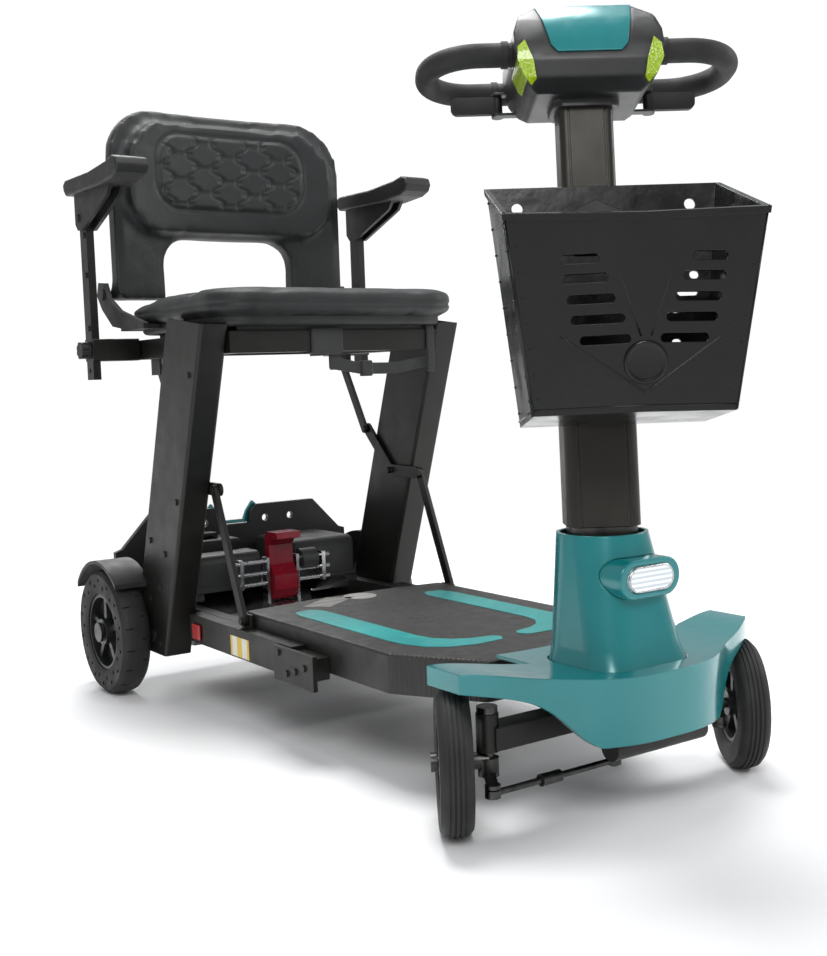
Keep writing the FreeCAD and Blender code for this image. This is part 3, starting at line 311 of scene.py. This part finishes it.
def make_materials():
    frame_paint = coated_metal("frame_paint", (0.008, 0.0076, 0.0066), (0.0125, 0.0118, 0.0102),
                               (0.04, 0.038, 0.034))
    tiller_paint = coated_metal("tiller_paint", (0.024, 0.0218, 0.0182), (0.034, 0.031, 0.026),
                                (0.12, 0.112, 0.1), 0.5, (0.3, 0.42))
    return {
        "frame": frame_paint,
        "tiller": tiller_paint,
        "teal": gloss_paint("teal_paint", (0.002, 0.16, 0.175), (0.004, 0.205, 0.215)),
        "stripe": moulded("teal_mat", (0.012, 0.24, 0.235), (0.022, 0.30, 0.29), (0.3, 0.42), 700,
                          0.0003),
        "black": moulded("black_plastic", (0.0055, 0.0057, 0.006), (0.009, 0.0093, 0.0097)),
        "console": moulded("console_plastic", (0.0075, 0.008, 0.0085), (0.011, 0.0116, 0.0122),
                           (0.3, 0.4), 1500, 0.0001, 0.006, 0.15),
        "gloss": gloss_plastic("gloss_black", (0.0018, 0.0019, 0.002), (0.0036, 0.0038, 0.004)),
        # The real drive covers are black; this mid grey is painted highlight standing in for their sheen.
        "painted_highlight_grey": moulded("grey_plastic", (0.022, 0.023, 0.022), (0.034, 0.035, 0.034), (0.35, 0.48),
                        1200, 0.00012, 0.003),
        "vinyl": leatherette("seat_vinyl", (0.0042, 0.0052, 0.0056), (0.0068, 0.0082, 0.0088)),
        "tyre": tyre_rubber("tyre_rubber", (0.005, 0.005, 0.005), (0.010, 0.010, 0.0098)),
        "rim": moulded("rim_plastic", (0.009, 0.0095, 0.01), (0.015, 0.0155, 0.016), (0.3, 0.42), 1100),
        "steel": brushed("steel", (0.45, 0.46, 0.47), (0.62, 0.62, 0.63)),
        "dark_steel": brushed("dark_steel", (0.05, 0.05, 0.05), (0.09, 0.088, 0.084), (0.3, 0.45)),
        "red": gloss_plastic("red_plastic", (0.16, 0.004, 0.012), (0.24, 0.006, 0.018)),
        "yellow": reflector("reflector_yellow", (0.28, 0.42, 0.008), (0.42, 0.6, 0.02)),
        "lamp_red": reflector("reflector_red", (0.35, 0.01, 0.01), (0.55, 0.02, 0.02)),
        "lens": lamp_face("lamp_face"),
        "foam": moulded("grip_foam", (0.0055, 0.0055, 0.0058), (0.009, 0.009, 0.0094), (0.6, 0.75),
                        900, 0.0003),
        "web": woven("webbing", (0.006, 0.006, 0.006), (0.02, 0.02, 0.02)),
        "deck": deck_mat("deck_mat"),
        "sticker": printed("sticker_pale", (0.55, 0.53, 0.5), (0.42, 0.4, 0.38), 18),
        "sticker_dark": printed("sticker_dark", (0.20, 0.19, 0.18), (0.3, 0.28, 0.26), 14),
        "sticker_yellow": printed("sticker_yellow", (0.7, 0.68, 0.62), (0.65, 0.45, 0.03), 11),
    }


MATERIALS = make_materials()
CAD_FINISH = {
    "frame": ("rear_frame front_chassis leg_left leg_right rocker_left rocker_right strut_left strut_right "
              "link_left link_right seat_frame arm_post_left arm_post_right"),
    "dark_steel": "steering_stem knuckle_left knuckle_right drive_unit tie_rod_left tie_rod_right",
    "tiller": "tiller_tube tiller_mast",
    "teal": "bumper shroud console_panel rear_trim headlight_housing",
    "stripe": "deck_stripes",
    "black": ("seat_pan arm_pad_left arm_pad_right arm_knob_left arm_knob_right fender_left fender_right "
              "throttle_left throttle_right speed_dial battery_pack rear_housing"),
    "console": "console_shell",
    # Drive covers take the grey that is painted highlight on black plastic.
    "gloss": "basket",
    "painted_highlight_grey": "drive_covers",
    "tyre": "rear_tyre_left rear_tyre_right front_tyre_left front_tyre_right",
    "rim": "rear_rim_left rear_rim_right front_rim_left front_rim_right",
    "steel": "lock_rods",
    "red": "fold_lever",
    "yellow": "console_lamps",
    "lamp_red": "reflectors",
    "lens": "headlight_lens",
    "foam": "grip_ring",
    "deck": "deck_board",
}


def dress(shape, material):
    shape.data.materials.clear()
    shape.data.materials.append(MATERIALS[material])


def finish_cad():
    """Every CAD node gets its material and smooth faces with crisp corners."""
    for material, names in CAD_FINISH.items():
        for name in names.split():
            shape = NODES[name]
            dress(shape, material)
            if "custom_normal" in shape.data.attributes:
                shape.data.attributes.remove(shape.data.attributes["custom_normal"])
            shape.data.shade_smooth()
            weld = shape.modifiers.new("weld", "WELD")
            weld.merge_threshold = SAME_SPOT
            split = shape.modifiers.new("corners", "EDGE_SPLIT")
            split.split_angle = CORNER_ANGLE


# Building pieces
def add_mesh(name, shape, body, material, smooth=True):
    mesh = bpy.data.meshes.new(name)
    shape.normal_update()
    shape.to_mesh(mesh)
    shape.free()
    piece = bpy.data.objects.new(name, mesh)
    bpy.context.scene.collection.objects.link(piece)
    if smooth:
        mesh.shade_smooth()
    mesh.materials.append(MATERIALS[material])
    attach(piece, body)
    return piece


def soften(piece, width, segments=2):
    edge = piece.modifiers.new("bevel", "BEVEL")
    edge.width = width
    edge.segments = segments
    edge.limit_method = "ANGLE"
    edge.harden_normals = True
    return piece


def add_plate(shape, outline, thickness):
    """A flat plate from an outline of points, standing out by the thickness vector."""
    low = [shape.verts.new(p) for p in outline]
    high = [shape.verts.new(p + thickness) for p in outline]
    shape.faces.new(low[::-1])
    shape.faces.new(high)
    count = len(outline)
    for index in range(count):
        after = (index + 1) % count
        shape.faces.new((low[index], low[after], high[after], high[index]))


def add_revolved(shape, center, axis, profile, steps=20):
    """A turned form: profile lists (distance along the axis, radius)."""
    turn = axis.normalized().to_track_quat("Z", "Y").to_matrix()
    rings = []
    for along, radius in profile:
        ring = []
        for index in range(steps):
            angle = math.tau * index / steps
            local = Vector((radius * math.cos(angle), radius * math.sin(angle), along))
            ring.append(shape.verts.new(center + turn @ local))
        rings.append(ring)
    for here, after in zip(rings, rings[1:]):
        for index in range(steps):
            other = (index + 1) % steps
            shape.faces.new((here[index], here[other], after[other], after[index]))
    shape.faces.new(rings[0][::-1])
    shape.faces.new(rings[-1])


def socket_screw(shape, center, axis, radius, height):
    """A button head with a hexagon recess."""
    profile = [(0, radius), (height * 0.45, radius), (height * 0.8, radius * 0.82), (height, radius * 0.52),
               (height * 0.98, radius * 0.46), (height * 0.35, radius * 0.44)]
    add_revolved(shape, center, axis, [(a * MM, r * MM) for a, r in profile], 18)


def bead(name, points, radius, body, material, closed=False):
    """A raised round bead along a run of points."""
    curve = bpy.data.curves.new(name, "CURVE")
    curve.dimensions = "3D"
    curve.bevel_depth = radius * MM
    curve.bevel_resolution = 3
    curve.use_fill_caps = True
    for run in points:
        spline = curve.splines.new("POLY")
        spline.points.add(len(run) - 1)
        for target, p in zip(spline.points, run):
            target.co = (*p, 1)
        spline.use_cyclic_u = closed
    piece = bpy.data.objects.new(name, curve)
    bpy.context.scene.collection.objects.link(piece)
    mesh = bpy.data.meshes.new_from_object(piece.evaluated_get(bpy.context.evaluated_depsgraph_get()))
    bpy.data.objects.remove(piece)
    shape = bmesh.new()
    shape.from_mesh(mesh)
    bmesh.ops.remove_doubles(shape, verts=shape.verts, dist=SAME_SPOT)
    return add_mesh(name, shape, body, material)


# Upholstery
def cad_copy(node, name):
    mesh = NODES[node].data.copy()
    if "custom_normal" in mesh.attributes:
        mesh.attributes.remove(mesh.attributes["custom_normal"])
    piece = bpy.data.objects.new(name, mesh)
    bpy.context.scene.collection.objects.link(piece)
    shape = bmesh.new()
    shape.from_mesh(mesh)
    bmesh.ops.remove_doubles(shape, verts=shape.verts, dist=SAME_SPOT)
    shape.to_mesh(mesh)
    shape.free()
    return piece


def freeze(piece):
    """Applies every modifier to the mesh."""
    graph = bpy.context.evaluated_depsgraph_get()
    graph.update()
    mesh = bpy.data.meshes.new_from_object(piece.evaluated_get(graph))
    piece.modifiers.clear()
    piece.data = mesh


GRID = 0.005
PRESSURE = 4.0


def shrink_and_grid(piece, inset):
    """An even grid over the piece, drawn in so that it has room to swell."""
    remesh = piece.modifiers.new("grid", "REMESH")
    remesh.mode = "VOXEL"
    remesh.voxel_size = GRID
    freeze(piece)
    shape = bmesh.new()
    shape.from_mesh(piece.data)
    shape.normal_update()
    for vertex in shape.verts:
        vertex.co -= vertex.normal * inset
    for _ in range(4):
        bmesh.ops.smooth_vert(shape, verts=shape.verts, factor=0.5, use_axis_x=True, use_axis_y=True,
                              use_axis_z=True)
    shape.to_mesh(piece.data)
    shape.free()


def inflate(piece, limit, frames=20):
    """Cloth under pressure, with each point's travel held to the limit."""
    start = [vertex.co.copy() for vertex in piece.data.vertices]
    cloth = piece.modifiers.new("cloth", "CLOTH")
    cloth.settings.use_pressure = True
    cloth.settings.uniform_pressure_force = PRESSURE
    cloth.settings.effector_weights.gravity = 0.0
    cloth.settings.mass = 0.3
    cloth.point_cache.frame_start = 1
    cloth.point_cache.frame_end = frames
    scene = bpy.context.scene
    for number in range(1, frames + 1):
        scene.frame_set(number)
    freeze(piece)
    for vertex, before in zip(piece.data.vertices, start):
        travel = vertex.co - before
        if travel.length > limit:
            vertex.co = before + travel * (limit / travel.length)
    scene.frame_set(1)


def refine(piece):
    level = piece.modifiers.new("smooth", "SUBSURF")
    level.levels = 1
    level.render_levels = 1
    freeze(piece)
    piece.data.shade_smooth()


def step(low, high, value):
    """A smooth rise from 0 to 1 between two limits."""
    t = min(1.0, max(0.0, (value - low) / (high - low)))
    return t * t * (3 - 2 * t)


QUILT_HALF = 132.0
QUILT_LOW = 745.0
QUILT_HIGH = 865.0
QUILT_ROUND = 45.0
QUILT_WAVE = 38.8
QUILT_PITCH = 44.0
QUILT_SWAY = 9.0
QUILT_PUFF = 3.6
QUILT_PINCH = 2.8
QUILT_LINE = 2.4
QUILT_BAND = 12


def quilt_edge(x, z):
    """Distance in from the rounded border of the quilted field, in millimetres."""
    middle = (QUILT_LOW + QUILT_HIGH) / 2
    dx = abs(x) - (QUILT_HALF - QUILT_ROUND)
    dz = abs(z - middle) - ((QUILT_HIGH - QUILT_LOW) / 2 - QUILT_ROUND)
    outside = math.hypot(max(dx, 0), max(dz, 0)) + min(max(dx, dz), 0)
    return QUILT_ROUND - outside


def quilt_height(x, z):
    """Relief of spool-shaped pillows between waving seams, in millimetres above the pad."""
    inside = quilt_edge(x, z)
    line = -QUILT_LINE * math.exp(-(inside / 1.9) ** 2)
    if inside < 0:
        return line
    swing = math.sin(math.tau * (z - QUILT_LOW) / QUILT_WAVE)
    offset = QUILT_SWAY * max(-1.0, min(1.0, 1.6 * swing))
    column = round(x / QUILT_PITCH)
    seams = [(k + 0.5) * QUILT_PITCH + (offset if k % 2 else -offset)
             for k in range(column - 2, column + 2)]
    pillow = 1 - math.exp(-(min(abs(x - seam) for seam in seams) / 3.2) ** 2)
    pinch = -swing if column % 2 else swing
    from_pinch = math.acos(max(-1.0, min(1.0, pinch))) / math.tau * QUILT_WAVE
    groove = math.exp(-(from_pinch / 2.0) ** 2)
    return line + (QUILT_PUFF * pillow - QUILT_PINCH * groove * pillow) * step(3.0, 9.0, inside)


def make_back():
    piece = cad_copy("backrest", "back_upholstery")
    shrink_and_grid(piece, 0.0015)
    inflate(piece, 0.003)
    refine(piece)
    shape = bmesh.new()
    shape.from_mesh(piece.data)
    shape.normal_update()
    for vertex in shape.verts:
        x, z = vertex.co.x / MM, vertex.co.z / MM
        near = QUILT_LOW - QUILT_BAND < z < QUILT_HIGH + QUILT_BAND and abs(x) < QUILT_HALF + QUILT_BAND
        if vertex.normal.y < -0.25 and near:
            vertex.co += vertex.normal * quilt_height(x, z) * MM
    shape.to_mesh(piece.data)
    shape.free()
    piece.data.shade_smooth()
    dress(piece, "vinyl")
    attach(piece, "backrest")
    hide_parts("backrest")


SEAM_SIZE = 0.0022


def make_seat():
    piece = cad_copy("seat_cushion", "seat_upholstery")
    low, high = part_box("seat_cushion")
    shrink_and_grid(piece, 0.003)
    inflate(piece, 0.006)
    refine(piece)
    seam = low.z + (high.z - low.z) * 0.45
    shape = bmesh.new()
    shape.from_mesh(piece.data)
    shape.normal_update()
    for vertex in shape.verts:
        side = math.hypot(vertex.normal.x, vertex.normal.y)
        if side > 0.6:
            depth = SEAM_SIZE * math.exp(-((vertex.co.z - seam) / SEAM_SIZE) ** 2)
            vertex.co -= vertex.normal * depth
    shape.to_mesh(piece.data)
    shape.free()
    piece.data.shade_smooth()
    dress(piece, "vinyl")
    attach(piece, "chassis")
    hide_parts("seat_cushion")


def make_strap():
    """The webbing below the seat, softened so that it reads as cloth."""
    piece = cad_copy("seat_strap", "seat_webbing")
    remesh = piece.modifiers.new("grid", "REMESH")
    remesh.mode = "VOXEL"
    remesh.voxel_size = 0.0013
    smooth = piece.modifiers.new("soft", "SMOOTH")
    smooth.iterations = 3
    freeze(piece)
    piece.data.shade_smooth()
    dress(piece, "web")
    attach(piece, "chassis")
    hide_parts("seat_strap")


# Basket details
BASKET_SHIFT = 8.0
BASKET_CREASE = 15.0
BASKET_BASE = 106
BASKET_NEAR_HALF = 105.0
BASKET_FAR_HALF = 91.0
BASKET_FRONT = 180
BASKET_SWEEP = 12
CREASE_LEAN = 0.2637
LEAN_LOST = 0.0187
RIM_TOP = 361.0
RIM_FALL = 0.42
RIM_REAR = 50
CORNER_LOW = 98
CORNER_HIGH = 124
REAR_LINE = 60
RIVET = 1.5


def basket_face(x, t, out=0.0):
    """A point on the basket's creased front, with x measured from the crease."""
    share = abs(x) / (BASKET_FAR_HALF if x > 0 else BASKET_NEAR_HALF)
    lean = CREASE_LEAN - LEAN_LOST * share
    forward = BASKET_FRONT - BASKET_SWEEP * share + (t - BASKET_BASE) * lean + out
    return on_tiller(BASKET_CREASE + x, forward, t)


def basket_rim(forward):
    """Height of the rim, which falls towards the front."""
    return RIM_TOP - RIM_FALL * (forward - RIM_REAR)


def add_rivet(shape, x, forward, t):
    bmesh.ops.create_icosphere(shape, subdivisions=2, radius=RIVET * MM,
                               matrix=Matrix.Translation(on_tiller(x, forward, t)))


def make_basket_relief():
    runs = []
    for side in (-1, 1):
        runs.append([basket_face(side * x, t) for x, t in ((92, 266), (35, 259), (28, 246), (5, 176))])
        runs.append([basket_face(side * x, t) for x, t in ((92, 266), (84, 256), (76, 178))])
    bead("basket_panel_beads", runs, 1.0, "tiller", "gloss")
    vee = [[basket_face(x, t) for x, t in ((-80, 179), (-72, 174), (0, 124), (72, 174), (80, 179))]]
    bead("basket_vee", vee, 1.3, "tiller", "gloss")


def make_basket_boss():
    shape = bmesh.new()
    center = basket_face(0, 153, -4.5)
    normal = (on_tiller(0, 10, -2.8) - on_tiller(0, 0, 0)).normalized()
    profile = [(0, 21), (5.2, 21), (6.4, 20), (6.6, 18.4), (5.8, 17.2), (5.4, 15)]
    add_revolved(shape, center, normal, [(a * MM, r * MM) for a, r in profile], 56)
    add_mesh("basket_boss", shape, "tiller", "gloss")


def make_basket_seams():
    """Corner ribs with their snap rivets, and the base rib."""
    runs = []
    rivets = bmesh.new()
    for side in (-1, 1):
        low = (CORNER_LOW * side + BASKET_SHIFT, 168, BASKET_BASE)
        high = (CORNER_HIGH * side + BASKET_SHIFT, 214, basket_rim(214))
        for inset in (0.0, 9.0):
            ends = []
            for x, forward, t in (low, high):
                ends.append(on_tiller(x + side * 0.3, forward - inset, t + 1))
            runs.append(ends)
        for index in range(8):
            share = (index + 0.7) / 8
            x = low[0] + (high[0] - low[0]) * share
            forward = low[1] + (high[1] - low[1]) * share
            t = low[2] + (high[2] - low[2]) * share
            for dx, df in ((-6 * side, 0.2), (0.2 * side, -16)):
                add_rivet(rivets, x + dx, forward + df, t)
        for index in range(9):
            share = (index + 0.5) / 9
            low_rear = (CORNER_LOW * side + BASKET_SHIFT, REAR_LINE, BASKET_BASE)
            high_rear = (CORNER_HIGH * side + BASKET_SHIFT, REAR_LINE, basket_rim(REAR_LINE))
            spot = [low_rear[i] + (high_rear[i] - low_rear[i]) * share for i in range(3)]
            add_rivet(rivets, spot[0] + 0.2 * side, spot[1], spot[2])
    base = [on_tiller(x, f, 112) for x, f in ((-91, 52), (-91, 169), (15, 181.5), (107, 169), (107, 52))]
    bead("basket_ribs", runs + [base], 1.1, "tiller", "gloss")
    add_mesh("basket_rivets", rivets, "tiller", "gloss")


def make_basket_bracket():
    """The peaked clamp plate on the inside of the rear wall."""
    outline = [(-26, 286), (26, 286), (26, 333), (0, 345), (-26, 333)]
    shape = bmesh.new()
    thickness = on_tiller(0, 4, 0) - on_tiller(0, 0, 0)
    add_plate(shape, [on_tiller(x, 53.2, t) for x, t in outline][::-1], thickness)
    piece = add_mesh("basket_clamp_plate", shape, "tiller", "black", False)
    soften(piece, 0.0015)
    screws = bmesh.new()
    axis = on_tiller(0, 1, 0) - on_tiller(0, 0, 0)
    for x in (-15, 15):
        socket_screw(screws, on_tiller(x, 57, 305), axis, 5, 3)
    add_mesh("basket_clamp_screws", screws, "tiller", "dark_steel")


# Small fittings
DECK_TOP = 157.05
RAIL_FACE = 188.05
SCREW_FACE = 158.2
STICKER = 0.0003
ROUND_STICKER = 24


def make_stickers():
    """Blank stickers where the deck and the near rail have labels."""
    flat = Vector((0, 0, STICKER))
    shape = bmesh.new()
    corners = ((-30, 292), (2, 316), (-64, 359), (-92, 331))
    add_plate(shape, [place(x, f, DECK_TOP) for x, f in corners], flat)
    add_mesh("deck_sticker_panel", shape, "chassis", "sticker_dark", False)
    shape = bmesh.new()
    ring = []
    for index in range(40):
        angle = math.tau * index / 40
        across, ahead = ROUND_STICKER * math.cos(angle), ROUND_STICKER * math.sin(angle)
        ring.append(place(12 + across, 316 + ahead, DECK_TOP))
    add_plate(shape, ring, flat)
    add_mesh("deck_sticker_round", shape, "chassis", "sticker", False)
    shape = bmesh.new()
    outline = [place(-RAIL_FACE, f, z) for f, z in ((298, 100), (352, 100), (352, 127), (298, 127))]
    add_plate(shape, outline, Vector((-STICKER, 0, 0)))
    add_mesh("rail_sticker", shape, "chassis", "sticker_yellow", False)


def make_lamp_ring():
    """The bright oval rim round the headlight's clear cover."""
    low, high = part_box("headlight_lens")
    radius = (high.z - low.z) / 2
    half = (high.x - low.x) / 2 - radius
    middle = (low + high) / 2
    points = []
    for side, start in ((1, -90), (-1, 90)):
        for index in range(17):
            angle = math.radians(start + 180 * index / 16)
            x = middle.x + side * half + (radius - 0.0006) * math.cos(angle)
            z = middle.z + (radius - 0.0006) * math.sin(angle)
            points.append(Vector((x, low.y + 0.0012, z)))
    bead("headlight_rim", [points], 1.5, "chassis", "steel", True)


def make_screws():
    """Socket screws along both deck rails."""
    shape = bmesh.new()
    for side in (-1, 1):
        out = Vector((side, 0, 0))
        for f, z in ((440, 116), (540, 118), (640, 124)):
            socket_screw(shape, place(side * SCREW_FACE, f, z), out, 4.5, 2.6)
    add_mesh("deck_screws", shape, "chassis", "dark_steel")


# Studio
FLOOR_PAINTED = 1.1
FLOOR_WHITE = 2.6


def make_floor():
    """A pale floor that fades to plain white away from the scooter."""
    shape = bmesh.new()
    bmesh.ops.create_circle(shape, cap_ends=True, radius=30.0, segments=96)
    mesh = bpy.data.meshes.new("floor")
    shape.to_mesh(mesh)
    shape.free()
    floor = bpy.data.objects.new("floor", mesh)
    bpy.context.scene.collection.objects.link(floor)
    made = Surface("floor_paint")
    color = made.ramp(made.noise(1.5), (0.90, 0.905, 0.91), (0.93, 0.93, 0.935))
    paint = made.finish(color, made.spread(made.noise(3), 0.6, 0.7))
    length = made.node("ShaderNodeVectorMath", operation="LENGTH")
    mix = made.node("ShaderNodeMixShader")
    fade = made.spread(length.outputs["Value"], 0.0, 1.0, FLOOR_PAINTED, FLOOR_WHITE)
    made.link(made.coords, length.inputs[0])
    made.link(fade, mix.inputs["Fac"])
    made.link(made.shader.outputs["BSDF"], mix.inputs[1])
    made.link(made.node("ShaderNodeEmission").outputs["Emission"], mix.inputs[2])
    made.link(mix.outputs["Shader"], made.output.inputs["Surface"])
    mesh.materials.append(paint)


def area_light(name, spot, target, size, power):
    lamp = bpy.data.lights.new(name, "AREA")
    lamp.shape = "DISK"
    lamp.size = size
    lamp.energy = power
    holder = bpy.data.objects.new(name, lamp)
    bpy.context.scene.collection.objects.link(holder)
    holder.location = spot
    holder.rotation_euler = (Vector(target) - Vector(spot)).to_track_quat("-Z", "Y").to_euler()


def make_light():
    world = bpy.data.worlds.new("studio")
    world.use_nodes = True
    back = world.node_tree.nodes["Background"]
    back.inputs["Color"].default_value = (0.97, 0.98, 1.0, 1)
    nodes, links = world.node_tree.nodes, world.node_tree.links
    ray = nodes.new("ShaderNodeLightPath")
    level = nodes.new("ShaderNodeMapRange")
    level.inputs["To Min"].default_value = 0.48
    level.inputs["To Max"].default_value = 1.06
    links.new(ray.outputs["Is Camera Ray"], level.inputs["Value"])
    links.new(level.outputs["Result"], back.inputs["Strength"])
    bpy.context.scene.world = world
    area_light("key", (-1.6, -2.6, 2.6), (0, 0, 0.4), 1.6, 55)
    area_light("side", (2.8, -1.2, 1.8), (0, 0, 0.4), 1.4, 35)
    area_light("rear", (0.6, 2.8, 2.2), (0, 0, 0.5), 1.6, 40)
    area_light("top", (0.2, 0.5, 3.0), (0, 0, 0), 1.4, 75)


CAMERA_SPOT = (-933.4, 1834.7, 475.2)
CAMERA_TURN, CAMERA_PITCH, CAMERA_ROLL = -34.57, 4.78, -1.94
CAMERA_LENS = 54.31


def make_camera():
    """The photograph's view: turned about the vertical, then pitched down, then rolled."""
    camera = bpy.data.cameras.new("camera")
    camera.sensor_fit = "HORIZONTAL"
    camera.sensor_width = 36.0
    camera.lens = CAMERA_LENS
    camera.clip_start = 0.05
    holder = bpy.data.objects.new("camera", camera)
    bpy.context.scene.collection.objects.link(holder)
    turn, pitch, roll = (math.radians(a) for a in (CAMERA_TURN, CAMERA_PITCH, CAMERA_ROLL))
    right = Vector((math.cos(turn), math.sin(turn), 0))
    ahead = Vector((-math.sin(turn) * math.cos(pitch), math.cos(turn) * math.cos(pitch), -math.sin(pitch)))
    up = right.cross(ahead)
    across = right * math.cos(roll) + up * math.sin(roll)
    above = up * math.cos(roll) - right * math.sin(roll)
    axes = Matrix((across, above, -ahead)).transposed().to_4x4()
    holder.matrix_world = Matrix.Translation(place(*CAMERA_SPOT)) @ axes
    bpy.context.scene.camera = holder


finish_cad()
make_back()
make_seat()
make_strap()
make_basket_relief()
make_basket_boss()
make_basket_seams()
make_basket_bracket()
make_stickers()
make_lamp_ring()
make_screws()
make_floor()
make_light()
make_camera()
bpy.context.scene.view_settings.view_transform = "Standard"
